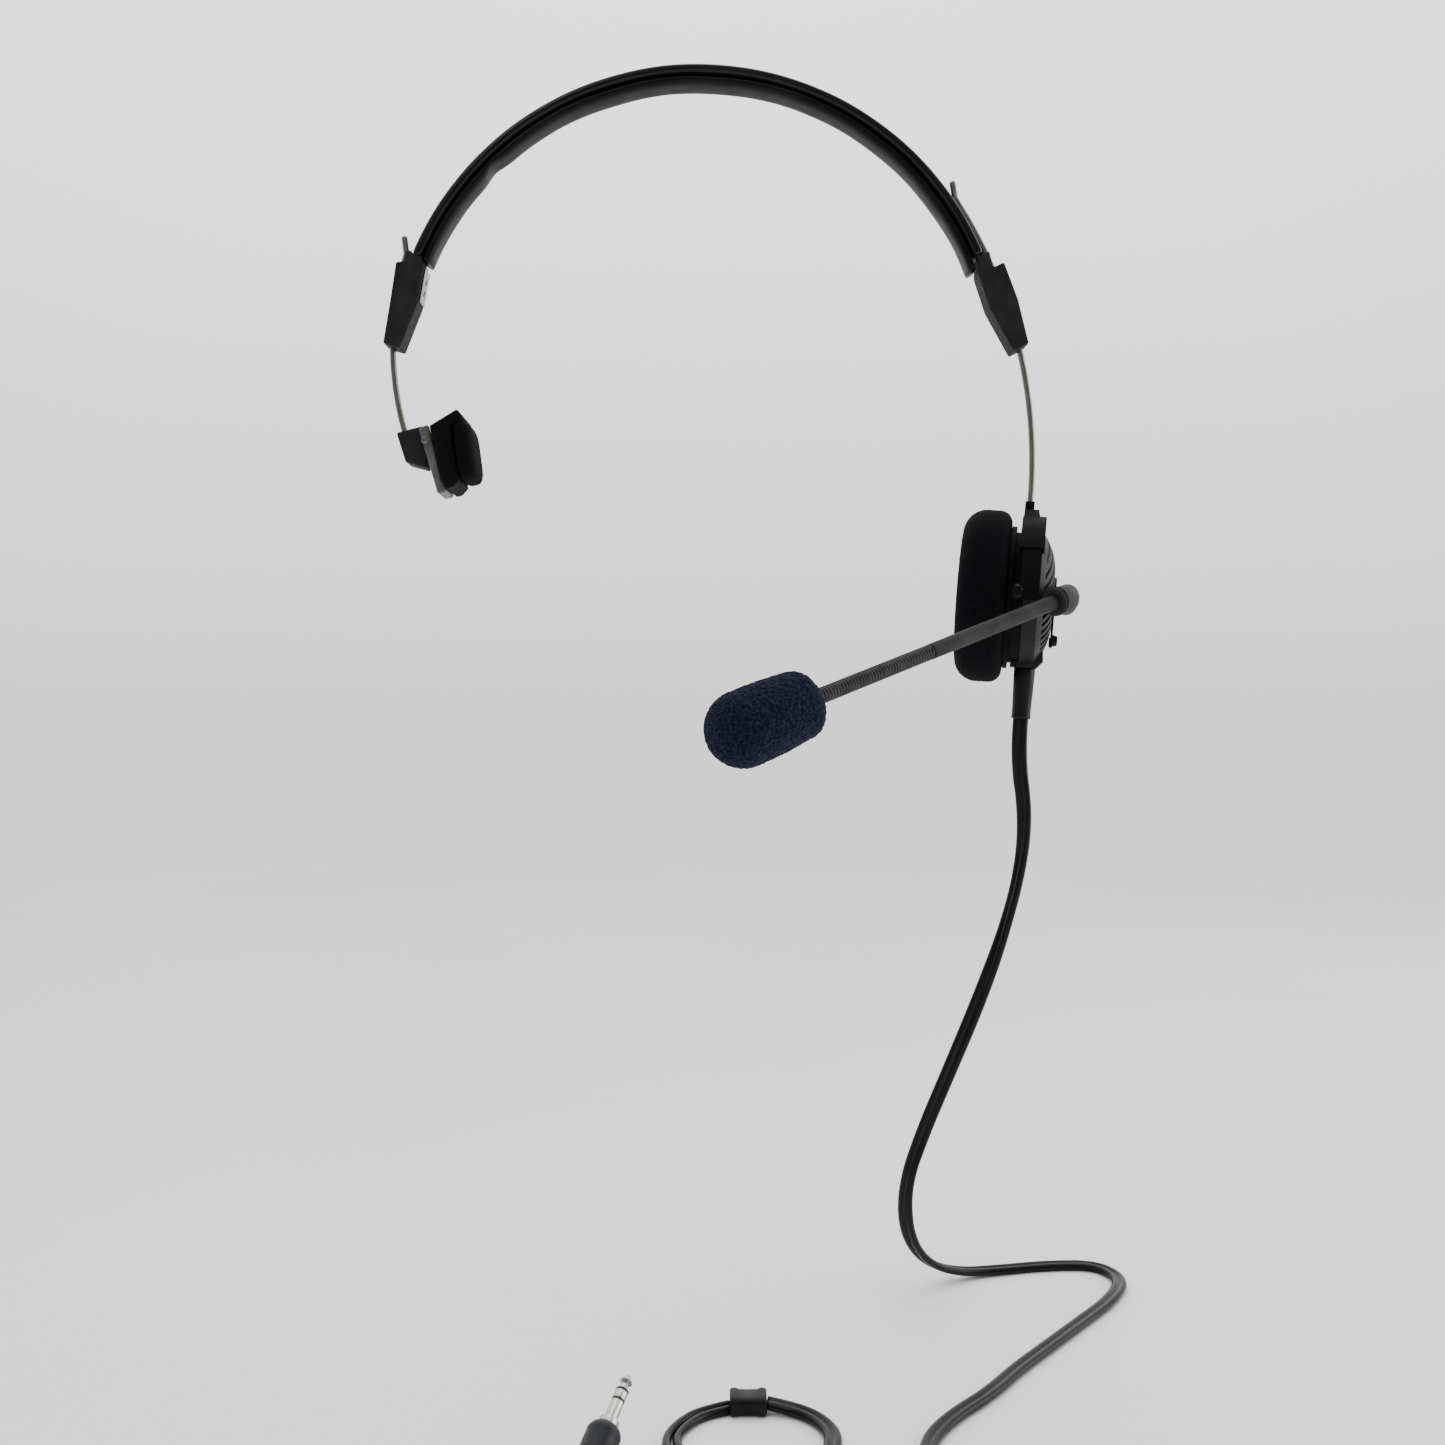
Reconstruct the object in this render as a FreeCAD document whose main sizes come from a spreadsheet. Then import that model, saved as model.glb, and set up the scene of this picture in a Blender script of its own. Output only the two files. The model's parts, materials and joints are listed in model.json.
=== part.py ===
"""Single-sided communication headset with a boom microphone, as a parametric document.

Frame: millimetres, +Z up, +X to the wearer's left, +Y to the back of the head.
The origin is the point of the headband's underside that rests on the crown.
"""
import FreeCAD, Part
import math
import os

Vector = FreeCAD.Vector
Placement = FreeCAD.Placement
Rotation = FreeCAD.Rotation

doc = FreeCAD.newDocument("headset")

# ---------------------------------------------------------------- driving dimensions
SIZES = {
    # headband: concentric arcs about an axis along Y
    "band_centre_z": -93.8, "band_half_angle": 67.0, "band_width": 10.0,
    "pad_inner_radius": 93.8, "pad_outer_radius": 96.7, "pad_end_temple": 67.5, "pad_end_ear": 69.2,
    "sleeve_inner_radius": 96.8, "sleeve_outer_radius": 100.8,
    "spring_radius": 98.6, "spring_thick": 0.6, "spring_width": 6.5, "spring_half_angle": 74.0,
    # sliding wires and the clips that grip them
    "wire_radius": 1.0, "wire_bore_radius": 1.06, "clip_width": 9.0, "clip_round": 0.7,
    "temple_arc_x": 4.1, "temple_arc_z": -83.7, "temple_arc_radius": 103.7,
    "ear_arc_x": -47.1, "ear_arc_z": -120.8, "ear_arc_radius": 156.2,
    "stop_bend_length": 5.0, "stop_bend_angle": 24.0,
    # temple pad
    "block_width": 9.0, "plate_width": 13.2, "holder_width": 18.0, "cushion_width": 22.0,
    "temple_pin_radius": 1.25, "temple_pin_length": 13.4,
    # earphone, measured along its own axis from the pivot plane (outwards is positive)
    "ear_x": 103.4, "ear_z": -166.0, "ear_yaw": -12.0, "ear_tilt": 4.5,
    "foam_radius": 28.0, "foam_face": -18.0, "foam_back": -2.5, "foam_edge": 6.0, "foam_back_edge": 4.0,
    "dish_radius": 9.0, "dish_depth": 3.0,
    "baffle_radius": 23.1, "baffle_front": -2.3, "baffle_back": -0.9, "skirt_radius": 21.2,
    "skirt_back": 2.9, "wall": 1.4,
    "shell_radius": 21.5, "shell_front": 3.0, "shell_shoulder": 7.6, "shell_crown": 12.2,
    "shell_flat_radius": 7.0, "slot_pitch": 2.6, "slot_width": 1.15, "slot_angle": 38.0,
    "slot_inner_radius": 9.8, "slot_outer_radius": 19.2,
    "ring_inner": 23.5, "ring_outer": 26.0, "ring_front": 1.6, "ring_back": 7.2,
    "saddle_front": 0.7, "saddle_back": 8.2, "saddle_outer": 26.6, "saddle_half_angle": 58.0,
    "pivot_axial": 0.9, "pivot_radius": 1.2, "pivot_lug_radius": 2.6, "pivot_head": 1.1,
    "stem_top": 28.6, "stem_bottom": 17.5, "stem_nub_top": 31.4,
    "driver_radius": 15.0, "magnet_radius": 8.0, "magnet_thick": 3.2, "coil_radius": 6.2,
    "screw_radius": 1.0, "screw_circle": 17.4, "post_radius": 2.0, "screw_head_radius": 1.8,
    "vent_radius": 0.9,
    "hub_radius": 7.4, "hub_thick": 0.7, "spigot_radius": 3.0, "spigot_gap": 0.06,
    "boss_axial": 5.0, "boss_half_width": 5.2, "relief_radius": 3.2, "relief_top": 22.6, "relief_end": 39.2,
    # boom and microphone
    "elbow_hub_radius": 3.2, "elbow_knee_radius": 3.7, "elbow_mouth_radius": 4.1,
    "collar_radius": 4.6, "collar_thick": 1.6, "boom_radius": 2.3, "neck_radius": 2.1,
    "neck_gap": 0.7, "capsule_radius": 3.0, "capsule_thick": 2.8, "housing_radius": 3.5,
    "housing_length": 21.0, "screen_radius": 9.8, "screen_back_radius": 8.9,
    "screen_length": 31.5, "screen_offset": 0.8, "screen_bore": 3.7, "screen_bore_depth": 22.0,
    # cord, leads and plugs
    "cord_radius": 2.5, "lead_radius": 1.25, "coil_major": 24.0, "coil_minor": 5.2,
    "slider_length": 10.4, "slider_width": 8.6, "slider_height": 5.6, "slider_round": 0.8,
    "floor_z": -400.0,
    "jack_radius": 1.75, "jack_sleeve": 5.5, "jack_gap": 0.7, "jack_ring": 2.2, "jack_tip": 4.9,
    "flange_radius": 2.7, "flange_length": 1.6, "handle_radius": 4.5, "handle_length": 22.0,
    "plug_relief_length": 9.0, "plug_relief_top": 2.7, "plug_relief_tail": 1.7,
}

sheet = doc.addObject("Spreadsheet::Sheet", "Sizes")
for row, (alias, value) in enumerate(SIZES.items(), start=1):
    sheet.set(f"A{row}", alias)
    sheet.set(f"B{row}", str(value))
    sheet.setAlias(f"B{row}", alias)
doc.recompute()


def size(alias):
    """A driving dimension, read from the sheet."""
    return float(sheet.get(alias))


NODES = {}


def node(label, thing):
    """Name one finished sub-part; its label is its file's name."""
    thing.Label = label
    NODES[label] = thing
    return thing


# ---------------------------------------------------------------- frames
EAR = Placement(Vector(size("ear_x"), 0, size("ear_z")),
                Rotation(Vector(0, 0, 1), size("ear_yaw")) * Rotation(Vector(0, 1, 0), size("ear_tilt")))
ALONG_X = Rotation(Vector(0, 1, 0), 90)          # turns a cylinder's own Z axis to +X
FORWARD = Rotation(Vector(1, 0, 0), 90)          # turns a cylinder's own Z axis to -Y


def frame_along(origin, direction):
    """A placement at origin whose +X axis runs along direction."""
    return Placement(origin, Rotation(Vector(1, 0, 0), direction))


def mix(start, end, share):
    """The point a share of the way from start to end."""
    return start + (end - start) * share


# ---------------------------------------------------------------- makers
def shaped(label, shape, place=None):
    """A sub-part whose shape is computed here from the sheet's sizes."""
    thing = doc.addObject("Part::Feature", label)
    thing.Shape = shape
    if place is not None:
        thing.Placement = place
    return node(label, thing)


def outline(points):
    """A closed face from (x, y) or (x, y, 'via') points; 'via' marks an arc's middle point."""
    edges = []
    here = Vector(*points[0][:2], 0)
    through = None
    for point in list(points[1:]) + [points[0]]:
        there = Vector(point[0], point[1], 0)
        if len(point) == 3:
            through = there
            continue
        if through is None:
            edges.append(Part.LineSegment(here, there).toShape())
        else:
            edges.append(Part.Arc(here, through, there).toShape())
        here = there
        through = None
    return Part.Face(Part.Wire(edges))


def spun(points, angle=360, start=0):
    """Revolve a (distance along X, radius) outline about the X axis, from start degrees."""
    solid = outline(points).revolve(Vector(0, 0, 0), Vector(1, 0, 0), angle)
    solid.rotate(Vector(0, 0, 0), Vector(1, 0, 0), start)
    return solid


def bent_strip(centre, inner, outer, width, from_angle, to_angle, rounding=0.0):
    """A strip bent about a Y axis through centre; angles run clockwise from +Z to +X."""
    half = width / 2
    if rounding:
        face = outline([(inner + rounding, -half), (outer - rounding, -half),
                        (outer - 0.3 * rounding, -half + 0.3 * rounding, "via"),
                        (outer, -half + rounding), (outer, half - rounding),
                        (outer - 0.3 * rounding, half - 0.3 * rounding, "via"),
                        (outer - rounding, half), (inner + rounding, half),
                        (inner + 0.3 * rounding, half - 0.3 * rounding, "via"),
                        (inner, half - rounding), (inner, -half + rounding),
                        (inner + 0.3 * rounding, -half + 0.3 * rounding, "via")])
    else:
        face = outline([(inner, -half), (outer, -half), (outer, half), (inner, half)])
    # the outline's x is the distance from the bend's axis, and starts along +Z
    face.rotate(Vector(0, 0, 0), Vector(0, 1, 0), -90 + from_angle)
    solid = face.revolve(Vector(0, 0, 0), Vector(0, 1, 0), to_angle - from_angle)
    solid.translate(centre)
    return solid


def bent_rod(centre, bend_radius, rod_radius, from_angle, to_angle):
    """A round rod bent about a Y axis through centre; angles run clockwise from +Z to +X."""
    circle = Part.Circle(Vector(bend_radius, 0, 0), Vector(0, 0, 1), rod_radius)
    face = Part.Face(Part.Wire(circle.toShape()))
    face.rotate(Vector(0, 0, 0), Vector(0, 1, 0), -90 + from_angle)
    solid = face.revolve(Vector(0, 0, 0), Vector(0, 1, 0), to_angle - from_angle)
    solid.translate(centre)
    return solid


def on_arc(centre, radius, angle):
    """The point at an angle from +Z towards +X on an arc about a Y axis."""
    turn = math.radians(angle)
    return centre + Vector(radius * math.sin(turn), 0, radius * math.cos(turn))


def rod(start, end, radius, end_radius=None):
    """A straight round rod, or a cone when its end radius differs."""
    reach = end - start
    if end_radius is None or end_radius == radius:
        return Part.makeCylinder(radius, reach.Length, start, reach)
    return Part.makeCone(radius, end_radius, reach.Length, start, reach)


def moulded(name, points, width, rounding="clip_round"):
    """A body padded both ways from the XZ plane, with every edge rounded."""
    body = doc.addObject("PartDesign::Body", name)
    sketch = body.newObject("Sketcher::SketchObject", name + "_outline")
    plane = next(f for f in body.Origin.OriginFeatures if f.Role == "XZ_Plane")
    sketch.AttachmentSupport = [(plane, "")]
    sketch.MapMode = "FlatFace"
    corners = [Vector(x, z, 0) for x, z in points]
    for here, there in zip(corners, corners[1:] + corners[:1]):
        sketch.addGeometry(Part.LineSegment(here, there))
    pad = body.newObject("PartDesign::Pad", name + "_pad")
    pad.Profile = sketch
    pad.Midplane = True
    pad.setExpression("Length", f"Sizes.{width}")
    doc.recompute()
    fillet = body.newObject("PartDesign::Fillet", name + "_rounding")
    fillet.Base = (pad, [f"Edge{i + 1}" for i in range(len(pad.Shape.Edges))])
    fillet.setExpression("Radius", f"Sizes.{rounding}")
    body.Tip = fillet
    doc.recompute()
    return body


def cylinder(name, radius, height, place):
    """A cylinder bound to the sheet; radius and height are expressions of its aliases."""
    thing = doc.addObject("Part::Cylinder", name)
    thing.setExpression("Radius", radius)
    thing.setExpression("Height", height)
    thing.Placement = place
    return thing


def tool(name, shape):
    """A shape that only serves a boolean."""
    thing = doc.addObject("Part::Feature", name)
    thing.Shape = shape
    return thing


def cut(label, base, cutter):
    """A sub-part that is base with cutter taken away."""
    thing = doc.addObject("Part::Cut", label)
    thing.Base = base
    thing.Tool = cutter
    return node(label, thing)


def ear_disc(name, radius, height, axial, across=0.0, up=0.0):
    """A cylinder along the earphone's axis, its start at the given distance along it."""
    return cylinder(name, radius, height, EAR * Placement(Vector(axial, across, up), ALONG_X))


# ---------------------------------------------------------------- headband
band_centre = Vector(0, 0, size("band_centre_z"))
band_end = size("band_half_angle")
spring_inner = size("spring_radius") - size("spring_thick") / 2
spring_outer = size("spring_radius") + size("spring_thick") / 2
spring_end = size("spring_half_angle")
spring_slack = 0.1
spring_hole_radius = 1.1

spring = bent_strip(band_centre, spring_inner, spring_outer, size("spring_width"),
                    -spring_end, spring_end)
# two holes near each end of the spring, at these degrees back from the end
for side in (-1, 1):
    for back_off in (1.6, 4.6):
        hole = on_arc(band_centre, size("spring_radius") - 3, side * (spring_end - back_off))
        far = on_arc(band_centre, size("spring_radius") + 3, side * (spring_end - back_off))
        spring = spring.cut(rod(hole, far, spring_hole_radius))
shaped("headband_spring", spring)

sleeve = bent_strip(band_centre, size("sleeve_inner_radius"), size("sleeve_outer_radius"),
                    size("band_width"), -band_end, band_end, rounding=1.4)
sleeve = sleeve.cut(bent_strip(band_centre, spring_inner - spring_slack, spring_outer + spring_slack,
                               size("spring_width") + 2 * spring_slack, -band_end - 1, band_end + 1))
shaped("headband_sleeve", sleeve)

shaped("headband_pad", bent_strip(band_centre, size("pad_inner_radius"), size("pad_outer_radius"),
                                  size("band_width"), -size("pad_end_temple"),
                                  size("pad_end_ear"), rounding=1.2))

# ---------------------------------------------------------------- slider clips
temple_arc = Vector(size("temple_arc_x"), 0, size("temple_arc_z"))
ear_arc = Vector(size("ear_arc_x"), 0, size("ear_arc_z"))
# the clips' outlines are (x, z) corners; the pocket clears the spring, the sleeve and the pad
spring_pocket = bent_strip(band_centre, spring_inner - spring_slack, spring_outer + spring_slack,
                           size("spring_width") + 2 * spring_slack, -spring_end - 0.2, spring_end + 0.2)
spring_pocket = spring_pocket.fuse(bent_strip(
    band_centre, size("pad_inner_radius") - 8, size("sleeve_outer_radius") + 0.1,
    size("clip_width") + 4, -band_end - 0.1, band_end + 0.1))
spring_pocket = spring_pocket.fuse(bent_strip(
    band_centre, size("pad_inner_radius") - 8, size("pad_outer_radius") + 0.15,
    size("clip_width") + 4, -size("pad_end_temple") - 0.4, size("pad_end_ear") + 0.4))

temple_clip = moulded("temple_clip_moulding", [
    (-94.6, -53.6), (-89.4, -54.8), (-88.6, -59.5), (-90.6, -70.8), (-96.4, -85.5),
    (-101.9, -83.9), (-99.6, -70.0), (-97.7, -57.6), (-95.2, -57.4)], "clip_width")
temple_bore = bent_rod(temple_arc, size("temple_arc_radius"), size("wire_bore_radius"), -104, -55)
cut("slider_clip_temple", temple_clip, tool("temple_clip_hollow", temple_bore.fuse(spring_pocket)))

# the strip's riveted end plate lies on the inner face of the temple clip
plate_top, plate_low = Vector(-88.62, 0, -59.9), Vector(-90.42, 0, -70.1)
plate_way = (plate_low - plate_top).normalize()
plate_face = Vector(-plate_way.z, 0, plate_way.x)
anchor_length, anchor_width, anchor_thick, anchor_hole_radius = 11.0, 6.4, 0.4, 0.9
anchor = Part.makeBox(anchor_length, anchor_width, anchor_thick, Vector(-0.4, -anchor_width / 2, 0.06))
for hole_place in (3.4, 7.0):
    anchor = anchor.cut(Part.makeCylinder(anchor_hole_radius, 2.0, Vector(hole_place, 0, -0.5),
                                          Vector(0, 0, 1)))
shaped("spring_anchor", anchor, Placement(plate_top, Rotation(plate_way, Vector(0, 1, 0), plate_face, "XYZ")))

ear_clip = moulded("ear_clip_moulding", [
    (94.4, -53.9), (90.6, -55.6), (90.7, -61.2), (94.3, -72.2), (102.2, -86.5),
    (107.2, -84.0), (103.8, -70.0), (99.2, -57.6), (95.6, -59.4)], "clip_width")
ear_bore = bent_rod(ear_arc, size("ear_arc_radius"), size("wire_bore_radius"), 55, 85)
cut("slider_clip_ear", ear_clip, tool("ear_clip_hollow", ear_bore.fuse(spring_pocket)))


# ---------------------------------------------------------------- sliding wires
def sliding_wire(label, centre, bend_radius, lower_angle, upper_angle, side):
    """A wire on its arc, with the stop bend at its upper end leaning outwards."""
    radius = size("wire_radius")
    body = bent_rod(centre, bend_radius, radius, min(lower_angle, upper_angle),
                    max(lower_angle, upper_angle))
    top = on_arc(centre, bend_radius, upper_angle)
    along = Rotation(Vector(0, 1, 0), upper_angle).multVec(Vector(-side, 0, 0))
    lean = Rotation(Vector(0, 1, 0), side * size("stop_bend_angle")).multVec(along)
    tip = top + lean * size("stop_bend_length")
    bend = rod(top, tip, radius)
    shape = body.fuse(Part.makeSphere(radius, top)).fuse(bend).fuse(Part.makeSphere(radius, tip))
    return shaped(label, shape.removeSplitter())


TEMPLE_WIRE_LOW = -107.6
TEMPLE_WIRE_TOP = -73.2
EAR_WIRE_LOW = 97.6
EAR_WIRE_TOP = 57.0
sliding_wire("temple_wire", temple_arc, size("temple_arc_radius"), TEMPLE_WIRE_LOW,
             TEMPLE_WIRE_TOP, -1)
sliding_wire("ear_wire", ear_arc, size("ear_arc_radius"), EAR_WIRE_LOW, EAR_WIRE_TOP, 1)

# ---------------------------------------------------------------- temple pad
block = moulded("temple_block_moulding", [
    (-97.6, -112.9), (-89.2, -110.7), (-86.7, -113.7), (-85.9, -115.8), (-86.6, -119.0),
    (-88.2, -124.2), (-94.6, -122.4)], "block_width")
pin_centre = Vector(-87.8, 0, -115.8)
pin_hole = rod(pin_centre - Vector(0, 8, 0), pin_centre + Vector(0, 8, 0),
               size("temple_pin_radius") + 0.05)
wire_socket = bent_rod(temple_arc, size("temple_arc_radius"), size("wire_radius") + 0.02,
                       TEMPLE_WIRE_LOW - 0.05, -95)
cut("temple_block", block, tool("temple_block_hollow", pin_hole.fuse(wire_socket)))

pin = cylinder("temple_pin_body", "Sizes.temple_pin_radius", "Sizes.temple_pin_length",
               Placement(pin_centre + Vector(0, size("temple_pin_length") / 2, 0), FORWARD))
node("temple_pin", pin)

# the plate is a channel: a wall on each side of the block, joined below it
plate = moulded("temple_plate_moulding", [
    (-90.0, -111.9), (-86.9, -110.6), (-85.5, -115.8), (-82.6, -128.4), (-80.6, -132.2),
    (-83.8, -133.0)], "plate_width")
room_width = size("block_width") + 0.6
swing_room = Part.makeBox(14.4, room_width, 22.0, Vector(-100.0, -room_width / 2, -128.0))
pin_seat = rod(pin_centre - Vector(0, 8, 0), pin_centre + Vector(0, 8, 0),
               size("temple_pin_radius") + 0.02)
cut("temple_plate", plate, tool("temple_plate_hollow", swing_room.fuse(pin_seat)))

holder = moulded("temple_holder_moulding", [
    (-86.0, -111.6), (-77.2, -106.2), (-75.2, -108.4), (-79.1, -111.9), (-76.4, -129.1),
    (-78.4, -131.3), (-80.5, -131.9), (-82.2, -128.2)], "holder_width")
node("temple_holder", holder)

cushion = moulded("temple_cushion_moulding", [
    (-79.0, -112.0), (-75.6, -108.9), (-72.6, -108.6), (-70.9, -127.6), (-76.2, -129.0)],
    "cushion_width", rounding="slider_round")
node("temple_cushion", cushion)

# ---------------------------------------------------------------- yoke
saddle_turn = size("saddle_half_angle")
# a half ring over the top of the earphone, thickened into a saddle where the wire meets it
ring = spun([(size("ring_front"), size("ring_inner")), (size("ring_back"), size("ring_inner")),
             (size("ring_back"), size("ring_outer")), (size("ring_front"), size("ring_outer"))],
            angle=180, start=0)
saddle = spun([(size("saddle_front"), size("ring_inner")), (size("saddle_back"), size("ring_inner")),
               (size("saddle_back"), size("saddle_outer")), (size("saddle_front"), size("saddle_outer"))],
              angle=2 * saddle_turn, start=90 - saddle_turn)
# the stem fans out from the wire down to the saddle; a nub beside the wire stands on it
stem_low = outline([(0.8, -19.4), (7.6, -19.4), (7.6, 19.4), (0.8, 19.4)])
stem_low.translate(Vector(0, 0, size("stem_bottom")))
stem_high = outline([(1.0, -3.2), (5.6, -3.2), (5.6, 3.2), (1.0, 3.2)])
stem_high.translate(Vector(0, 0, size("stem_top")))
stem = Part.makeLoft([stem_low.OuterWire, stem_high.OuterWire], True)
stem = stem.fuse(Part.makeBox(3.0, 3.2, size("stem_nub_top") - size("stem_top"),
                              Vector(1.0, -1.6, size("stem_top"))))
bore_guard = spun([(0, 0), (20, 0), (20, size("ring_inner")), (0, size("ring_inner"))])
yoke_shape = ring.fuse(saddle).fuse(stem.cut(bore_guard))
for side in (-1, 1):
    lug_start = Vector(size("pivot_axial"), side * size("ring_inner"), 0)
    lug_end = Vector(size("pivot_axial"), side * size("ring_outer"), 0)
    yoke_shape = yoke_shape.fuse(rod(lug_start, lug_end, size("pivot_lug_radius")))
    yoke_shape = yoke_shape.fuse(Part.makeBox(
        size("ring_back") - size("pivot_axial"), size("ring_outer") - size("ring_inner"), 2.6,
        Vector(size("pivot_axial"), min(lug_start.y, lug_end.y), -2.6)))
    yoke_shape = yoke_shape.cut(rod(lug_start - Vector(0, side, 0), lug_end + Vector(0, side, 0),
                                    size("pivot_radius") + 0.02))
wire_hole = bent_rod(ear_arc, size("ear_arc_radius"), size("wire_bore_radius"),
                     90, EAR_WIRE_LOW + 0.05)
wire_hole.transformShape(EAR.inverse().toMatrix())
shaped("yoke", yoke_shape.cut(wire_hole).removeSplitter(), EAR)

pins = []
for side in (-1, 1):
    inner = Vector(size("pivot_axial"), side * (size("skirt_radius") - 0.6), 0)
    outer = Vector(size("pivot_axial"), side * size("ring_outer"), 0)
    head = outer + Vector(0, side * size("pivot_head"), 0)
    pins.append(rod(inner, outer, size("pivot_radius")).fuse(rod(outer, head, 2.3, 1.4)))
shaped("yoke_pins", Part.makeCompound(pins), EAR)

# ---------------------------------------------------------------- earphone
foam_radius, edge = size("foam_radius"), size("foam_edge")
face, back = size("foam_face"), size("foam_back")
back_edge = size("foam_back_edge")
corner = edge * (1 - math.sqrt(0.5))
back_corner = back_edge * (1 - math.sqrt(0.5))
shaped("ear_foam", spun([
    (face + size("dish_depth"), 0), (face, size("dish_radius")), (face, foam_radius - edge),
    (face + corner, foam_radius - corner, "via"), (face + edge, foam_radius),
    (back - back_edge, foam_radius), (back - back_corner, foam_radius - back_corner, "via"),
    (back, foam_radius - back_edge), (back, 0)]), EAR)

wall = size("wall")
baffle = spun([
    (size("baffle_front"), 0), (size("baffle_front"), size("baffle_radius")),
    (size("baffle_back"), size("baffle_radius")), (size("baffle_back"), size("skirt_radius")),
    (size("skirt_back"), size("skirt_radius")), (size("skirt_back"), size("skirt_radius") - wall),
    (size("baffle_back"), size("skirt_radius") - wall), (size("baffle_back"), 0)])
for side in (-1, 1):
    socket_end = Vector(size("pivot_axial"), side * (size("ring_inner") - 0.3), 0)
    socket_start = Vector(size("pivot_axial"), side * (size("skirt_radius") - 2.4), 0)
    baffle = baffle.fuse(rod(socket_start, socket_end, size("pivot_lug_radius") - 0.7))
    baffle = baffle.cut(rod(Vector(size("pivot_axial"), side * (size("skirt_radius") - 1.2), 0),
                            socket_end + Vector(0, side, 0), size("pivot_radius") + 0.05))
# rings of sound holes: each ring's radius and its number of holes
for circle_radius, count in ((4.0, 6), (8.0, 12), (12.0, 16)):
    for index in range(count):
        turn = 2 * math.pi * index / count
        where = Vector(size("baffle_front") - 1, circle_radius * math.cos(turn),
                       circle_radius * math.sin(turn))
        baffle = baffle.cut(rod(where, where + Vector(4, 0, 0), size("vent_radius")))
screw_turns = [math.radians(90 + 120 * index) for index in range(3)]
for turn in screw_turns:
    across, up = size("screw_circle") * math.cos(turn), size("screw_circle") * math.sin(turn)
    baffle = baffle.cut(rod(Vector(-4, across, up), Vector(size("baffle_front") + 0.85, across, up),
                            size("screw_head_radius") + 0.1))
    baffle = baffle.cut(rod(Vector(-4, across, up), Vector(0, across, up), size("screw_radius") + 0.15))
shaped("ear_baffle", baffle, EAR)

shell_radius, shoulder = size("shell_radius"), size("shell_shoulder")
crown, flat = size("shell_crown"), size("shell_flat_radius")
shell = spun([
    (size("shell_front"), shell_radius), (shoulder, shell_radius),
    (crown - 1.5, 16.2, "via"), (crown, flat), (crown, 0), (crown - wall, 0),
    (crown - wall, flat - 0.4), (crown - wall - 1.6, 15.2, "via"),
    (shoulder - 0.4, shell_radius - wall), (size("shell_front"), shell_radius - wall)])
slot_zone = spun([(0, size("slot_inner_radius")), (0, size("slot_outer_radius")),
                  (20, size("slot_outer_radius")), (20, size("slot_inner_radius"))])
slot_count = int(size("slot_outer_radius") / size("slot_pitch"))
slots = []
for index in range(-slot_count, slot_count + 1):
    slot = Part.makeBox(14, 60, size("slot_width"),
                        Vector(6, -30, index * size("slot_pitch") - size("slot_width") / 2))
    slot.rotate(Vector(0, 0, 0), Vector(1, 0, 0), size("slot_angle"))
    slots.append(slot)
# the lower part of the shell, above the cord, has no slots
slot_zone = slot_zone.cut(Part.makeBox(30, 11, 14, Vector(-1, -5.5, -24)))
shell = shell.cut(Part.makeCompound(slots).common(slot_zone))
for turn in screw_turns:
    across, up = size("screw_circle") * math.cos(turn), size("screw_circle") * math.sin(turn)
    shell = shell.fuse(rod(Vector(size("baffle_back") + 0.05, across, up), Vector(8.9, across, up),
                           size("post_radius")))
    shell = shell.cut(rod(Vector(-2, across, up), Vector(6.5, across, up), size("screw_radius") + 0.02))
boss_low = -size("relief_top")
# the boss that holds the strain relief, as (axial, up) corners
boss_outline = outline([(size("shell_front"), -15.0), (10.2, -15.0), (10.6, -20.4), (8.6, boss_low),
                        (0.2, boss_low), (0.2, -21.7)])
boss_outline.rotate(Vector(0, 0, 0), Vector(1, 0, 0), 90)
boss_outline.translate(Vector(0, size("boss_half_width"), 0))
boss = boss_outline.extrude(Vector(0, -2 * size("boss_half_width"), 0))
boss_guard = spun([(-3, 0), (7.0, 0), (7.0, shell_radius - 0.4), (size("shell_front"), shell_radius - 0.4),
                   (size("shell_front"), shell_radius - 0.1), (-3, shell_radius - 0.1)])
boss = boss.cut(boss_guard)
shell = shell.fuse(boss)
boss_axis_top = Vector(size("boss_axial"), 0, -18.0)
boss_axis_low = Vector(size("boss_axial"), 0, boss_low - 1)
shell = shell.cut(rod(boss_axis_top, boss_axis_low, size("lead_radius") * 2))
shell = shell.cut(rod(Vector(8, 0, 0), Vector(20, 0, 0), size("spigot_radius") + size("spigot_gap")))
shaped("ear_shell", shell.removeSplitter(), EAR)

screws = []
for turn in screw_turns:
    head_front = Vector(size("baffle_front") + 0.05, size("screw_circle") * math.cos(turn),
                        size("screw_circle") * math.sin(turn))
    head_back = head_front + Vector(0.75, 0, 0)
    screws.append(rod(head_front, head_back, size("screw_head_radius")).fuse(
        rod(head_back, head_back + Vector(6.0, 0, 0), size("screw_radius"))))
shaped("shell_screws", Part.makeCompound(screws), EAR)

driver_start = size("baffle_back") + 0.1
frame_radius = size("driver_radius")
shaped("driver_frame", spun([
    (driver_start, frame_radius - 1.6), (driver_start, frame_radius),
    (driver_start + 1.6, frame_radius), (driver_start + 3.4, size("magnet_radius") + 0.9),
    (driver_start + 3.4, size("magnet_radius") + 0.1), (driver_start + 2.4, size("magnet_radius") + 0.1),
    (driver_start + 1.2, frame_radius - 1.6)]),
    EAR)
driver_diaphragm = spun([
    (driver_start + 0.4, frame_radius - 1.8), (driver_start + 0.55, frame_radius - 1.8),
    (driver_start + 1.15, 5.2), (driver_start + 0.6, 0), (driver_start + 0.45, 0),
    (driver_start + 1.0, 5.2)])
shaped("driver_diaphragm", driver_diaphragm, EAR)
coil_start = driver_start + 1.25
coil = cylinder("coil_outside", "Sizes.coil_radius", "1.6 mm",
                EAR * Placement(Vector(coil_start, 0, 0), ALONG_X))
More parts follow.
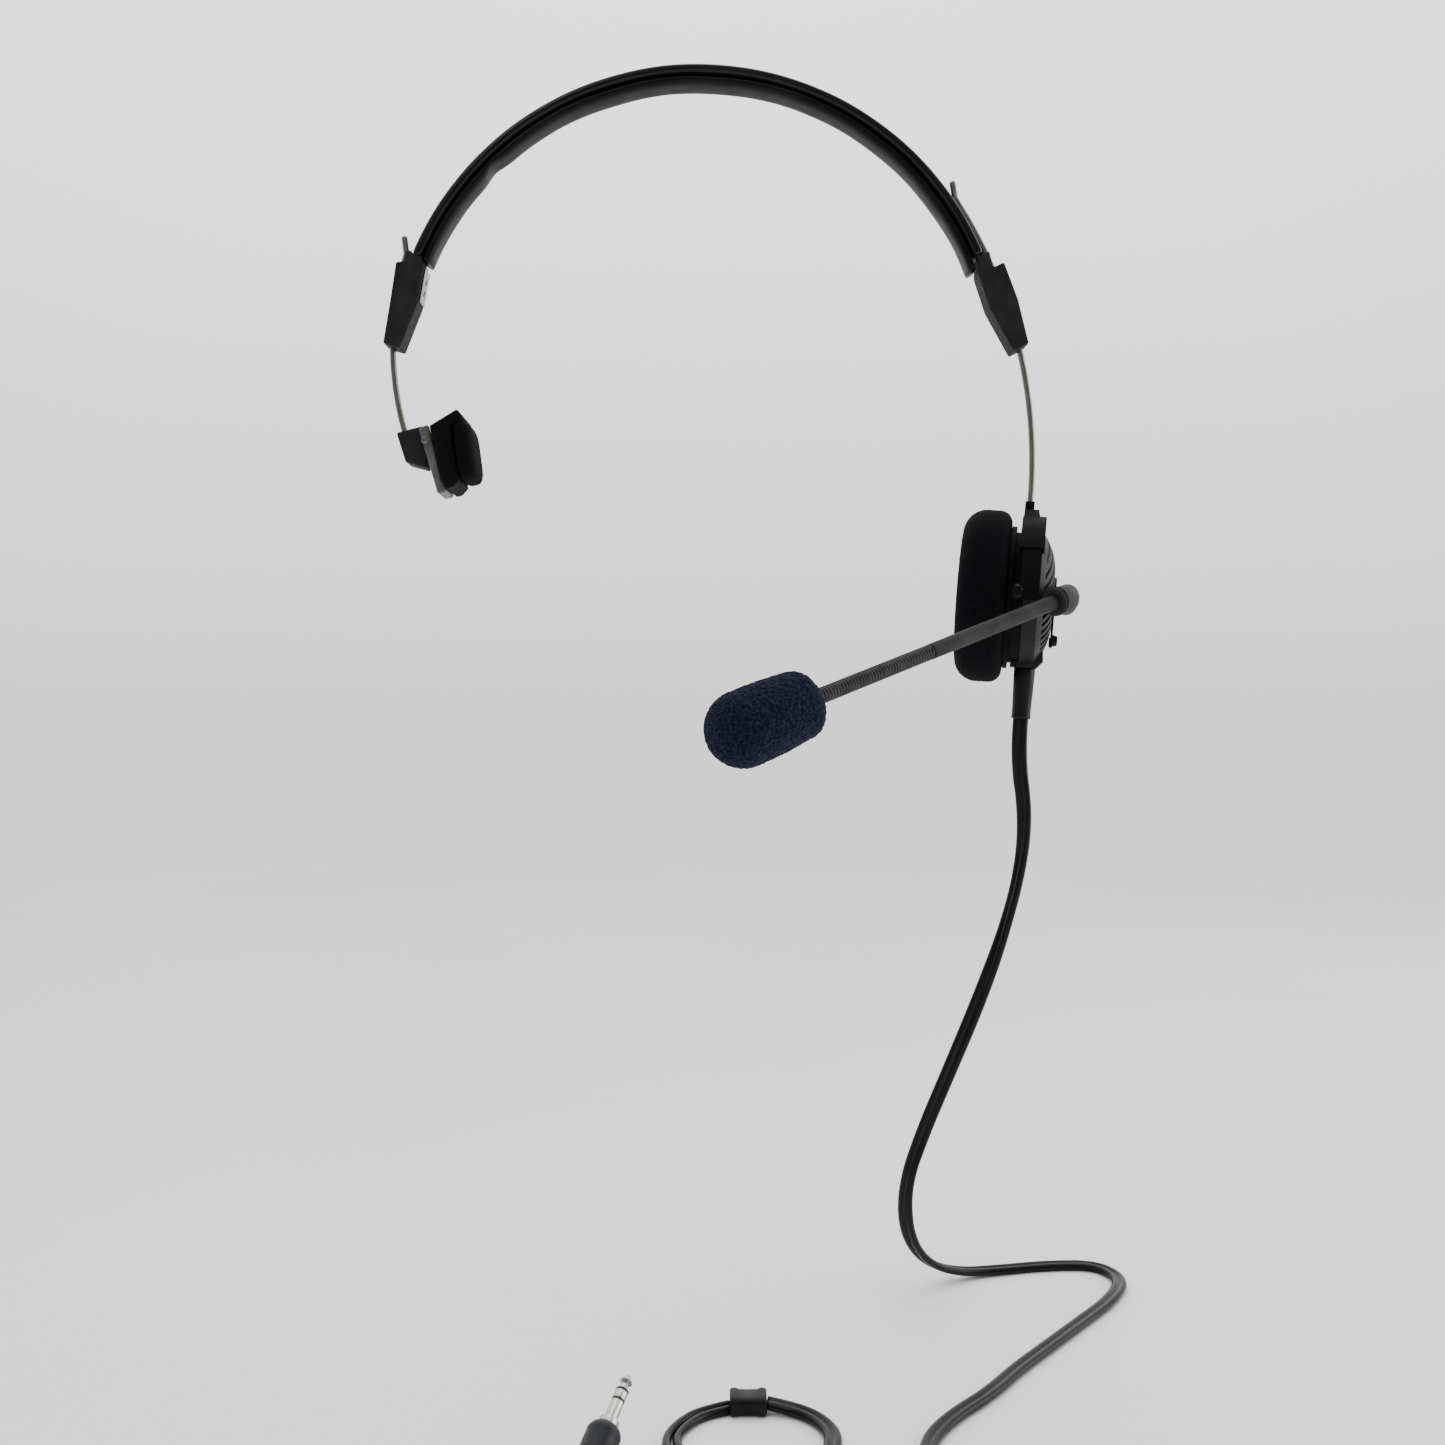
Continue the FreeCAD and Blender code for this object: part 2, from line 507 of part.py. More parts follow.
coil_core = cylinder("coil_inside", "Sizes.coil_radius - 0.5", "1.6 mm",
                     EAR * Placement(Vector(coil_start, 0, 0), ALONG_X))
cut("voice_coil", coil, coil_core)
node("driver_pole_plate", ear_disc("pole_plate_disc", "Sizes.coil_radius - 0.8", "0.9 mm",
                                   coil_start + 0.6))
magnet_start = coil_start + 1.8
node("driver_magnet", ear_disc("magnet_disc", "Sizes.magnet_radius", "Sizes.magnet_thick", magnet_start))
board = ear_disc("board_disc", "Sizes.magnet_radius + 1", "0.8 mm", magnet_start + size("magnet_thick") + 0.1)
node("terminal_board", board)
felt = ear_disc("felt_outside", "Sizes.driver_radius - 1", "1 mm", driver_start + 3.6)
felt_hole = ear_disc("felt_inside", "Sizes.magnet_radius + 1.2", "1 mm", driver_start + 3.6)
cut("felt_damper", felt, felt_hole)

# the hub plate lies on the shell's crown; its tongue ends in the nub that limits the boom
hub_start = crown + 0.08
hub = Part.makeCylinder(size("hub_radius"), size("hub_thick"), Vector(hub_start, 0, 0), Vector(1, 0, 0))
hub = hub.fuse(Part.makeBox(size("hub_thick"), 6.0, 15.6, Vector(hub_start, -3.0, -15.6)))
hub = hub.fuse(rod(Vector(hub_start, 0, -13.2), Vector(hub_start + 2.3, 0, -13.2), 2.2, 1.6))
hub = hub.fuse(rod(Vector(hub_start - 0.4, 0, -13.8), Vector(hub_start + 0.2, 0, -13.8), 1.5, 1.7))
hub = hub.cut(rod(Vector(8, 0, 0), Vector(20, 0, 0), size("spigot_radius") + size("spigot_gap")))
shaped("hub_plate", hub, EAR)

relief_top = Vector(size("boss_axial"), 0, -size("relief_top") - 0.02)
relief_end = Vector(size("boss_axial"), 0, -size("relief_end"))
shaped("strain_relief", rod(relief_top, relief_end, size("relief_radius") + 0.15,
                            size("relief_radius") - 0.3), EAR)

# ---------------------------------------------------------------- boom
elbow_hub = EAR.multVec(Vector(hub_start + size("hub_thick") + 0.7 + size("elbow_hub_radius"), 0, 0))
elbow_knee = EAR.multVec(Vector(16.5, -11.2, -0.2))
boom_start = Vector(110.2, -28.0, -169.6)
boom_end = Vector(31.9, -100.0, -200.4)
spigot_start = EAR.multVec(Vector(9.2, 0, 0))
elbow = Part.makeSphere(size("elbow_hub_radius"), elbow_hub)
elbow = elbow.fuse(rod(elbow_hub, elbow_knee, size("elbow_hub_radius"), size("elbow_knee_radius")))
elbow = elbow.fuse(Part.makeSphere(size("elbow_knee_radius"), elbow_knee))
elbow = elbow.fuse(rod(elbow_knee, mix(elbow_knee, boom_start, 1.15), size("elbow_knee_radius"),
                       size("elbow_mouth_radius")))
elbow = elbow.cut(rod(boom_start, boom_end, 9.0))
elbow = elbow.fuse(rod(spigot_start, elbow_hub, size("spigot_radius")))
screw_seat = EAR.multVec(Vector(9.0, 0, 0))
elbow = elbow.cut(rod(screw_seat, EAR.multVec(Vector(14.5, 0, 0)), size("screw_radius") + 0.02))
shaped("boom_elbow", elbow.removeSplitter())

washer = spun([(8.75, size("screw_radius") + 0.1), (9.15, size("screw_radius") + 0.1),
               (9.15, 5.2), (8.75, 5.2)])
shaped("hub_washer", washer, EAR)
shaped("hub_screw", rod(Vector(8.72, 0, 0), Vector(14.4, 0, 0), size("screw_radius")).fuse(
    rod(Vector(7.7, 0, 0), Vector(8.72, 0, 0), 2.2)), EAR)

boom_way = boom_end - boom_start
boom_unit = Vector(boom_way).normalize()
collar_end = boom_start + boom_unit * size("collar_thick")
shaped("boom_collar", rod(boom_start + boom_unit * 0.02, collar_end, size("collar_radius"),
                          size("collar_radius") - 0.5))

# how far along the boom the smooth tube ends, and each gooseneck hinge lies
TUBE_SHARE = 0.57
NECK_SHARES = (0.62, 0.76, 0.90, 1.0)
shaped("boom_tube", rod(collar_end + boom_unit * 0.02, mix(boom_start, boom_end, TUBE_SHARE),
                        size("boom_radius")))
neck_start = mix(boom_start, boom_end, TUBE_SHARE) + boom_unit * 0.02
half_gap = boom_unit * (size("neck_gap") / 2)
shaped("gooseneck_root", rod(neck_start, mix(boom_start, boom_end, NECK_SHARES[0]) - half_gap,
                             size("neck_radius")))
for index in range(3):
    segment_start = mix(boom_start, boom_end, NECK_SHARES[index]) + half_gap
    segment_end = mix(boom_start, boom_end, NECK_SHARES[index + 1]) - half_gap
    shaped(f"gooseneck_{index + 1}", rod(segment_start, segment_end, size("neck_radius")))

# ---------------------------------------------------------------- microphone
mic_way = Vector(-0.84, -0.41, -0.355)
MIC = frame_along(boom_end, mic_way)
housing_end = size("housing_length")
shaped("mic_housing", spun([
    (0.8, 0), (0.8, size("neck_radius") + 0.3), (3.4, size("housing_radius")),
    (housing_end, size("housing_radius")), (housing_end, size("capsule_radius") + 0.05),
    (housing_end - size("capsule_thick") - 0.1, size("capsule_radius") + 0.05),
    (housing_end - size("capsule_thick") - 0.1, 0)]), MIC)
node("mic_capsule", cylinder("capsule_disc", "Sizes.capsule_radius", "Sizes.capsule_thick",
                             MIC * Placement(Vector(housing_end - size("capsule_thick"), 0, 0), ALONG_X)))
screen_start = size("screen_offset")
screen_end = screen_start + size("screen_length")
bore_end = screen_start + size("screen_bore_depth")
cap_radius = size("screen_radius")
cap_start = screen_end - cap_radius - 0.5
cap_middle = cap_radius * math.sqrt(0.5)
shaped("windscreen", spun([
    (screen_start, size("screen_bore")), (screen_start, 4.4),
    (screen_start + 1.6, 7.0, "via"), (screen_start + 5.2, size("screen_back_radius")),
    (screen_start + 12.4, cap_radius - 0.15, "via"), (cap_start, cap_radius),
    (cap_start + cap_middle + 0.4, cap_middle, "via"), (screen_end, 1.2), (screen_end, 0),
    (bore_end, 0), (bore_end, size("screen_bore"))]), MIC)


# ---------------------------------------------------------------- cord
TRIM_SHARE = 0.45        # how much of the shorter run each corner's arc takes


def cord_path(points):
    """Straight runs joined by tangent arcs, each as large as its two runs allow."""
    edges = []
    start = points[0]
    for before, here, after in zip(points, points[1:], points[2:]):
        back = (before - here).normalize()
        ahead = (after - here).normalize()
        turn = math.pi - back.getAngle(ahead)
        trim = TRIM_SHARE * min((before - here).Length, (after - here).Length)
        radius = trim / math.tan(turn / 2)
        arc_start = here + back * trim
        arc_end = here + ahead * trim
        centre_way = (back + ahead).normalize()
        middle = here + centre_way * (math.hypot(radius, trim) - radius)
        edges.append(Part.LineSegment(start, arc_start).toShape())
        edges.append(Part.Arc(arc_start, middle, arc_end).toShape())
        start = arc_end
    edges.append(Part.LineSegment(start, points[-1]).toShape())
    return Part.Wire(edges)


def cord_tube(label, points, radius):
    """A round cord swept along its smoothed route."""
    path = cord_path([Vector(*point) for point in points])
    first = path.Edges[0]
    tangent = first.tangentAt(first.FirstParameter)
    ring_edge = Part.Circle(Vector(*points[0]), tangent, radius).toShape()
    tube = path.makePipeShell([Part.Wire(ring_edge)], True, False)
    return shaped(label, tube)


def along_floor(radius, points):
    """Points that lie on the floor at a cord's own radius."""
    return [(x, y, size("floor_z") + radius) for x, y in points]


cord_exit = EAR.multVec(Vector(size("boss_axial"), 0, -size("relief_end") - 0.02))
CORD_ROUTE = [
    tuple(cord_exit), (104.3, -0.2, -218), (107.0, 0, -237), (105.2, 0.5, -256), (99.5, 1, -277),
    (92, 2, -298), (83, 3, -320), (74.5, 5, -341), (68.5, 8, -360), (69.5, 13, -378),
    (77, 21, -391)]
CORD_ROUTE += along_floor(size("cord_radius"), [
    (90, 29), (106, 34.5), (124, 38.5), (140.5, 38.5), (146.0, 25), (137, 8), (122, -10),
    (108, -27), (95.5, -42), (84, -58), (71, -71.5), (62.5, -85), (60.5, -101), (60.8, -116),
    (60.4, -131)])
COIL_CENTRE = Vector(36, -142, size("floor_z") + size("coil_minor"))
TAIL_ROUTE = along_floor(size("cord_radius"), [
    (11.7, -134), (13.2, -122), (18.5, -111.5), (28, -102.5), (36, -92.5), (38.3, -81), (34, -71.5),
    (27, -66.8), (20.4, -65.3)])
LEAD_A_ROUTE = along_floor(size("lead_radius"), [
    (9.9, -66.8), (3.5, -69.6), (-1.2, -75), (-4.4, -82), (-3.6, -89), (0.9, -95.8), (6.0, -102),
    (9.0, -110), (9.0, -118), (6.0, -127), (1.5, -135.5), (-5, -144.5), (-13, -151.5), (-23, -153),
    (-30.5, -147.5)])
LEAD_B_ROUTE = along_floor(size("lead_radius"), [
    (9.9, -63.9), (1.9, -67.4), (-3.5, -73.5), (-7.1, -81.4), (-6.9, -88.5), (-3.4, -94.5),
    (-1.2, -99.5)])
SLIDER_MIDDLE_Y = -65.35

PLUG_A_BASE = Vector(-20.8, -109.8, -382.2)
PLUG_A_WAY = Vector(0.301, 0.839, 0.454)
PLUG_B_BASE = Vector(-36.7, -121.45, size("floor_z") + size("handle_radius"))
PLUG_B_WAY = Vector(-0.87, -0.5, 0)


def plug_back(base, way):
    """The point where the lead leaves a plug's bend relief."""
    return base - Vector(way).normalize() * (size("handle_length") + size("plug_relief_length") + 0.04)


LEAD_A_ROUTE += [(-32.0, -141.0, -398.4), tuple(plug_back(PLUG_A_BASE, PLUG_A_WAY))]
LEAD_B_ROUTE += [(-4.5, -103.0, -398.2), tuple(plug_back(PLUG_B_BASE, PLUG_B_WAY))]

cord_tube("cord_twin", CORD_ROUTE, size("cord_radius"))
cord_tube("cord_tail", TAIL_ROUTE, size("cord_radius"))
cord_tube("lead_a", LEAD_A_ROUTE, size("lead_radius"))
cord_tube("lead_b", LEAD_B_ROUTE, size("lead_radius"))

coil_ring = doc.addObject("Part::Torus", "coil_ring")
coil_ring.setExpression("Radius1", "Sizes.coil_major")
coil_ring.setExpression("Radius2", "Sizes.coil_minor")
coil_ring.Placement = Placement(COIL_CENTRE, Rotation())
node("cord_coil", coil_ring)

slider_length, slider_width = size("slider_length"), size("slider_width")
slider_box = doc.addObject("Part::Box", "slider_block")
slider_box.setExpression("Length", "Sizes.slider_length")
slider_box.setExpression("Width", "Sizes.slider_width")
slider_box.setExpression("Height", "Sizes.slider_height")
slider_corner = Vector(10.0, SLIDER_MIDDLE_Y - slider_width / 2, size("floor_z"))
slider_box.Placement = Placement(slider_corner, Rotation())
doc.recompute()
slider_fillet = doc.addObject("Part::Fillet", "slider_rounding")
slider_fillet.Base = slider_box
slider_fillet.Edges = [(i + 1, size("slider_round"), size("slider_round"))
                       for i in range(len(slider_box.Shape.Edges))]
node("cord_slider", slider_fillet)


# ---------------------------------------------------------------- plugs
def plug(name, base, way):
    """A three-pole 3.5 mm plug; base is where its flange meets the handle."""
    at = frame_along(base, way)
    radius, gap = size("jack_radius"), size("jack_gap")
    flange_end = size("flange_length")
    sleeve_end = flange_end + size("jack_sleeve")
    ring_start = sleeve_end + gap
    ring_end = ring_start + size("jack_ring")
    tip_start = ring_end + gap
    tip_end = tip_start + size("jack_tip")
    shaped(f"{name}_sleeve", spun([
        (0.02, 0), (0.02, size("flange_radius")), (flange_end, size("flange_radius")),
        (flange_end, radius), (sleeve_end, radius), (sleeve_end, 0)]), at)
    shaped(f"{name}_insulators", Part.makeCompound([
        Part.makeCylinder(radius, gap, Vector(sleeve_end, 0, 0), Vector(1, 0, 0)),
        Part.makeCylinder(radius, gap, Vector(ring_end, 0, 0), Vector(1, 0, 0))]), at)
    shaped(f"{name}_ring", Part.makeCylinder(radius, size("jack_ring"), Vector(ring_start, 0, 0),
                                             Vector(1, 0, 0)), at)
    shaped(f"{name}_tip", spun([
        (tip_start, 0), (tip_start, radius - 0.35), (tip_start + 1.6, radius - 0.75),
        (tip_start + 2.5, radius), (tip_end - 0.7, 0.75), (tip_end, 0)]), at)
    handle = size("handle_radius")
    back = -size("handle_length")
    shaped(f"{name}_handle", spun([
        (0, 0), (0, 3.0), (-0.9, 4.0, "via"), (-3.2, handle), (back + 7, handle),
        (back + 2, handle - 0.3, "via"), (back, handle - 1.1), (back, 0)]), at)
    shaped(f"{name}_relief", rod(Vector(back - 0.02, 0, 0),
                                 Vector(back - size("plug_relief_length"), 0, 0),
                                 size("plug_relief_top"), size("plug_relief_tail")), at)


plug("plug_a", PLUG_A_BASE, PLUG_A_WAY)
plug("plug_b", PLUG_B_BASE, PLUG_B_WAY)

# ---------------------------------------------------------------- checks and files
doc.recompute()
problems = [thing.Name for thing in doc.Objects
            if {"Invalid", "Error"} & set(thing.State)]
for label, thing in NODES.items():
    if thing.Shape.isNull() or not thing.Shape.isValid() or not thing.Shape.Solids:
        problems.append(label)
if problems:
    raise SystemExit("failed objects: " + ", ".join(problems))

os.makedirs("parts", exist_ok=True)
for label, thing in NODES.items():
    thing.Shape.exportStep(os.path.join("parts", label + ".step"))
print(len(NODES), "sub-parts written")
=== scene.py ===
import bmesh
import bpy
import json
import math
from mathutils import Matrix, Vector, noise


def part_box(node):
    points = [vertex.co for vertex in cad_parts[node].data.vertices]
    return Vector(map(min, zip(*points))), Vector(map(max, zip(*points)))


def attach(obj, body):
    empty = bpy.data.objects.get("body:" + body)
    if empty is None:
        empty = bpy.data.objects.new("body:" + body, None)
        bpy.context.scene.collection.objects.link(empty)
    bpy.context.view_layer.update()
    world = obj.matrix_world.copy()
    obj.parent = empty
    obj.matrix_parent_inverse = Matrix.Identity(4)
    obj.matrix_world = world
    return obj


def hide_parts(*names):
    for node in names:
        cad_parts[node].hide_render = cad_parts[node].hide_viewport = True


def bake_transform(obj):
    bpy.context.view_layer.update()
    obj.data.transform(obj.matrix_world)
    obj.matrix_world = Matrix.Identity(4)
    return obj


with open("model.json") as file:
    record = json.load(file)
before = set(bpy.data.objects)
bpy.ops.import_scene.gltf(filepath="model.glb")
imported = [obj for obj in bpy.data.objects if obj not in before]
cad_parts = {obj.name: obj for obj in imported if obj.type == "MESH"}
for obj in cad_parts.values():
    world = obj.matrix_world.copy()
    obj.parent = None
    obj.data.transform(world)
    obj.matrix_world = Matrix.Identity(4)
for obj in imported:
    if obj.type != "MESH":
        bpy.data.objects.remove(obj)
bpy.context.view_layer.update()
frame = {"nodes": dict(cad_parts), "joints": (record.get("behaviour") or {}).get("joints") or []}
NODES = frame["nodes"]
JOINTS = {joint["name"]: joint for joint in frame["joints"]}
MM = 0.001


def mm(x, y, z):
    """A point of the row frame, given in millimetres."""
    return Vector((x * MM, y * MM, z * MM))


def joint_point(name):
    return Vector(JOINTS[name]["pos_m"])


def joint_axis(name):
    return Vector(JOINTS[name]["axis"]).normalized()


# ---------------------------------------------------------------- frames taken from the CAD
BAND_CENTRE = mm(0, 0, -93.8)
EAR_ORIGIN = joint_point("boom_swivel")
EAR_OUT = joint_axis("boom_swivel")
EAR_BACK = joint_axis("earphone_tilt")
EAR_UP = EAR_OUT.cross(EAR_BACK).normalized()
NECK_JOINTS = [joint_point(f"neck_bend_{index}") for index in (1, 2, 3)]
BOOM_WAY = (NECK_JOINTS[2] - NECK_JOINTS[0]).normalized()
BOOM_START = mm(110.2, -28.0, -169.6)
BOOM_END = mm(31.9, -100.0, -200.4)
MIC_WAY = Vector((-0.84, -0.41, -0.355)).normalized()
FLOOR_Z = -0.400


def ear_point(out, back, up):
    """A point given in millimetres along the earphone's own axes."""
    return EAR_ORIGIN + (EAR_OUT * out + EAR_BACK * back + EAR_UP * up) * MM


# ---------------------------------------------------------------- camera
CAMERA_PLACE = mm(8, -463, -206.7)
SENSOR_WIDTH_MM = 36.0
LENS_MM = 35.3273


def make_camera():
    """Level, at mouth height, looking along +Y at the wearer's face side."""
    data = bpy.data.cameras.new("camera")
    data.sensor_width = SENSOR_WIDTH_MM
    data.lens = LENS_MM
    data.clip_start = 0.01
    camera = bpy.data.objects.new("camera", data)
    camera.location = CAMERA_PLACE
    camera.rotation_euler = (math.radians(90), 0, 0)
    bpy.context.collection.objects.link(camera)
    bpy.context.scene.camera = camera


make_camera()


# ---------------------------------------------------------------- materials
TONE_CONTRAST = 0.35


def new_material(name):
    material = bpy.data.materials.new(name)
    material.use_nodes = True
    tree = material.node_tree
    shader = tree.nodes["Principled BSDF"]
    coords = tree.nodes.new("ShaderNodeTexCoord")
    return material, tree, shader, coords.outputs["Object"]


def noise_node(tree, coords, size, detail=3.0):
    """A noise texture whose features are about size metres across."""
    node = tree.nodes.new("ShaderNodeTexNoise")
    node.inputs["Scale"].default_value = 1.0 / size
    node.inputs["Detail"].default_value = detail
    tree.links.new(coords, node.inputs["Vector"])
    return node.outputs["Fac"]


def ramp(tree, factor, low, high, at_low=0.3, at_high=0.7):
    """A colour ramp between two colours."""
    node = tree.nodes.new("ShaderNodeValToRGB")
    node.color_ramp.elements[0].position = at_low
    node.color_ramp.elements[1].position = at_high
    node.color_ramp.elements[0].color = (*low, 1)
    node.color_ramp.elements[1].color = (*high, 1)
    tree.links.new(factor, node.inputs["Fac"])
    return node.outputs["Color"]


def spread(tree, factor, low, high):
    """A factor remapped to the range low to high."""
    node = tree.nodes.new("ShaderNodeMapRange")
    node.inputs["From Min"].default_value = 0.3
    node.inputs["From Max"].default_value = 0.7
    node.inputs["To Min"].default_value = low
    node.inputs["To Max"].default_value = high
    tree.links.new(factor, node.inputs["Value"])
    return node.outputs["Result"]


def bump(tree, height, depth, strength=1.0, under=None):
    node = tree.nodes.new("ShaderNodeBump")
    node.inputs["Distance"].default_value = depth
    node.inputs["Strength"].default_value = strength
    tree.links.new(height, node.inputs["Height"])
    if under is not None:
        tree.links.new(under, node.inputs["Normal"])
    return node.outputs["Normal"]


def scaled(colour, share):
    return tuple(min(1.0, channel * share) for channel in colour)


def plastic(name, colour, rough, grain_size=0.0004, grain_depth=0.00002, mottle=0.02, gloss=0.3):
    """Moulded plastic or rubber: mottled tone, uneven gloss and a fine moulded grain."""
    material, tree, shader, coords = new_material(name)
    broad = noise_node(tree, coords, mottle, 4.0)
    fine = noise_node(tree, coords, grain_size, 2.0)
    tint = ramp(tree, broad, scaled(colour, 1 - TONE_CONTRAST), scaled(colour, 1 + TONE_CONTRAST))
    tree.links.new(tint, shader.inputs["Base Color"])
    smear = noise_node(tree, coords, mottle * 0.35, 5.0)
    tree.links.new(spread(tree, smear, rough[0], rough[1]), shader.inputs["Roughness"])
    tree.links.new(bump(tree, fine, grain_depth), shader.inputs["Normal"])
    shader.inputs["Specular IOR Level"].default_value = gloss
    return material


def metal(name, colour, rough, streak=(1.0, 1.0, 1.0)):
    """Plated or drawn metal with fine drawing marks and a slightly uneven shine."""
    material, tree, shader, coords = new_material(name)
    mapping = tree.nodes.new("ShaderNodeMapping")
    mapping.inputs["Scale"].default_value = streak
    tree.links.new(coords, mapping.inputs["Vector"])
    marks = noise_node(tree, mapping.outputs["Vector"], 0.0005, 5.0)
    cloud = noise_node(tree, coords, 0.006, 3.0)
    tree.links.new(ramp(tree, cloud, scaled(colour, 0.8), colour), shader.inputs["Base Color"])
    tree.links.new(spread(tree, marks, rough[0], rough[1]), shader.inputs["Roughness"])
    tree.links.new(bump(tree, marks, 0.004 * MM), shader.inputs["Normal"])
    shader.inputs["Metallic"].default_value = 1.0
    return material


def foam(name, colour, painted_glint, pore, pore_depth, sheen):
    """Open-cell foam: pores painted as small dark pits of shade between paler cell walls, with lighter
    flecks of painted glint mixed in.
    """
    material, tree, shader, coords = new_material(name)
    cells = tree.nodes.new("ShaderNodeTexVoronoi")
    cells.feature = "F1"
    cells.inputs["Scale"].default_value = 1.0 / pore
    tree.links.new(coords, cells.inputs["Vector"])
    # painted shade: the pit at the centre of each cell is darkened to about a third of the colour
    tone = ramp(tree, cells.outputs["Distance"], scaled(colour, 0.35), colour, 0.1, 0.55)
    patch = noise_node(tree, coords, pore * 0.7, 2.0)
    # painted glint: lighter flecks mixed into the colour over the cell walls by the patch noise
    mix = tree.nodes.new("ShaderNodeMix")
    mix.data_type = "RGBA"
    tree.links.new(spread(tree, patch, -0.5, 0.9), mix.inputs[0])
    tree.links.new(tone, mix.inputs[6])
    mix.inputs[7].default_value = (*painted_glint, 1)
    tree.links.new(mix.outputs[2], shader.inputs["Base Color"])
    shader.inputs["Roughness"].default_value = 0.92
    shader.inputs["Specular IOR Level"].default_value = 0.05
    shader.inputs["Sheen Weight"].default_value = sheen
    shader.inputs["Sheen Roughness"].default_value = 0.6
    fine = bump(tree, patch, pore_depth * 0.6)
    tree.links.new(bump(tree, cells.outputs["Distance"], pore_depth, under=fine), shader.inputs["Normal"])
    return material


M = {
    "vinyl": plastic("vinyl_black", (0.005, 0.005, 0.006), (0.2, 0.34), 0.0009, 0.000012, gloss=0.2),
    "pad_vinyl": plastic("pad_vinyl_black", (0.005, 0.005, 0.006), (0.26, 0.44), 0.0007, 0.00003,
                         gloss=0.08),
    "clip": plastic("clip_charcoal", (0.013, 0.0135, 0.015), (0.55, 0.75), 0.00045, 0.00006, 0.006,
                    gloss=0.12),
    "bracket": plastic("bracket_grey", (0.085, 0.083, 0.078), (0.35, 0.55), 0.0005, 0.00002, 0.006),
    "black_plastic": plastic("black_plastic", (0.005, 0.005, 0.0055), (0.3, 0.46), 0.0005, 0.000012,
                             gloss=0.09),
    "matt_black": plastic("matt_black", (0.0045, 0.0045, 0.005), (0.62, 0.8), 0.0005, 0.00003,
                          gloss=0.06),
    "shell": plastic("shell_grey", (0.010, 0.010, 0.010), (0.42, 0.58), 0.0005, 0.00003, gloss=0.16),
    "boom_grey": plastic("boom_grey", (0.020, 0.020, 0.021), (0.55, 0.72), 0.0004, 0.00002, 0.012,
                         gloss=0.1),
    "gooseneck": plastic("gooseneck_grey", (0.030, 0.029, 0.029), (0.36, 0.52), 0.0003, 0.00002, 0.004,
                         gloss=0.2),
    "rubber": plastic("rubber_black", (0.005, 0.005, 0.0055), (0.35, 0.55), 0.0005, 0.00002, gloss=0.15),
    "cord": plastic("cord_pvc", (0.005, 0.005, 0.006), (0.16, 0.3), 0.0015, 0.00002, 0.01, gloss=0.14),
    "handle": plastic("plug_handle", (0.008, 0.009, 0.015), (0.32, 0.5), 0.0004, 0.00003, 0.006,
                      gloss=0.2),
    "insulator": plastic("insulator_black", (0.008, 0.008, 0.008), (0.3, 0.45)),
    "board": plastic("circuit_board", (0.02, 0.11, 0.045), (0.25, 0.4), 0.001, 0.00001, 0.004),
    "film": plastic("polyester_film", (0.45, 0.45, 0.43), (0.12, 0.25)),
    "felt": plastic("felt_grey", (0.16, 0.16, 0.16), (0.85, 0.98), 0.0004, 0.0001),
    "ferrite": plastic("ferrite", (0.04, 0.04, 0.045), (0.55, 0.75), 0.0003, 0.00003),
    "wire": metal("wire_nickel", (0.21, 0.197, 0.175), (0.26, 0.42), (1, 1, 0.08)),
    "strip": metal("strip_steel", (0.36, 0.35, 0.33), (0.28, 0.45), (1, 0.1, 1)),
    "nickel": metal("plug_nickel", (0.52, 0.50, 0.46), (0.14, 0.28)),
    "copper": metal("coil_copper", (0.72, 0.38, 0.20), (0.25, 0.4)),
    # foams: the third colour is the painted glint on the cell walls, and the pits get painted shade
    "foam": foam("foam_black", (0.0035, 0.0035, 0.0045), (0.007, 0.007, 0.0095), 0.0006, 0.0001, 0.0),
    "windscreen": foam("foam_navy", (0.0045, 0.006, 0.018), (0.016, 0.021, 0.047), 0.0010, 0.0004, 0.03),
}

NODE_MATERIALS = {
    "headband_spring": "strip", "spring_anchor": "strip", "slider_clip_temple": "clip",
    "slider_clip_ear": "clip", "temple_wire": "wire", "ear_wire": "wire", "temple_block": "clip",
    "temple_plate": "bracket", "temple_holder": "matt_black", "temple_pin": "wire",
    "yoke": "matt_black", "yoke_pins": "black_plastic", "ear_baffle": "matt_black",
    "ear_shell": "shell", "shell_screws": "nickel", "driver_frame": "strip",
    "driver_magnet": "ferrite", "driver_pole_plate": "strip", "voice_coil": "copper",
    "driver_diaphragm": "film", "felt_damper": "felt", "terminal_board": "board",
    "hub_plate": "black_plastic", "hub_screw": "nickel", "hub_washer": "strip",
    "mic_housing": "black_plastic", "mic_capsule": "nickel",
}
for plug in ("plug_a", "plug_b"):
    NODE_MATERIALS.update({
        f"{plug}_tip": "nickel", f"{plug}_ring": "nickel", f"{plug}_sleeve": "nickel",
        f"{plug}_insulators": "insulator", f"{plug}_handle": "handle", f"{plug}_relief": "rubber"})


CLIP_ROUNDING = 0.3 * MM
PLAIN_ROUNDING = 0.12 * MM


def finish_cad_node(name, material):
    """Give a CAD node its material, and a hair of rounding on its sharp edges."""
    node = NODES[name]
    node.data.materials.clear()
    node.data.materials.append(M[material])
    weld = node.modifiers.new("weld", "WELD")
    weld.merge_threshold = 1e-6
    edge = node.modifiers.new("edge", "BEVEL")
    edge.width = CLIP_ROUNDING if material == "clip" else PLAIN_ROUNDING
    edge.segments = 2
    edge.limit_method = "ANGLE"
    edge.angle_limit = math.radians(35)
    shading = node.modifiers.new("shading", "WEIGHTED_NORMAL")
    shading.weight = 100


for node_name, material_name in NODE_MATERIALS.items():
    finish_cad_node(node_name, material_name)


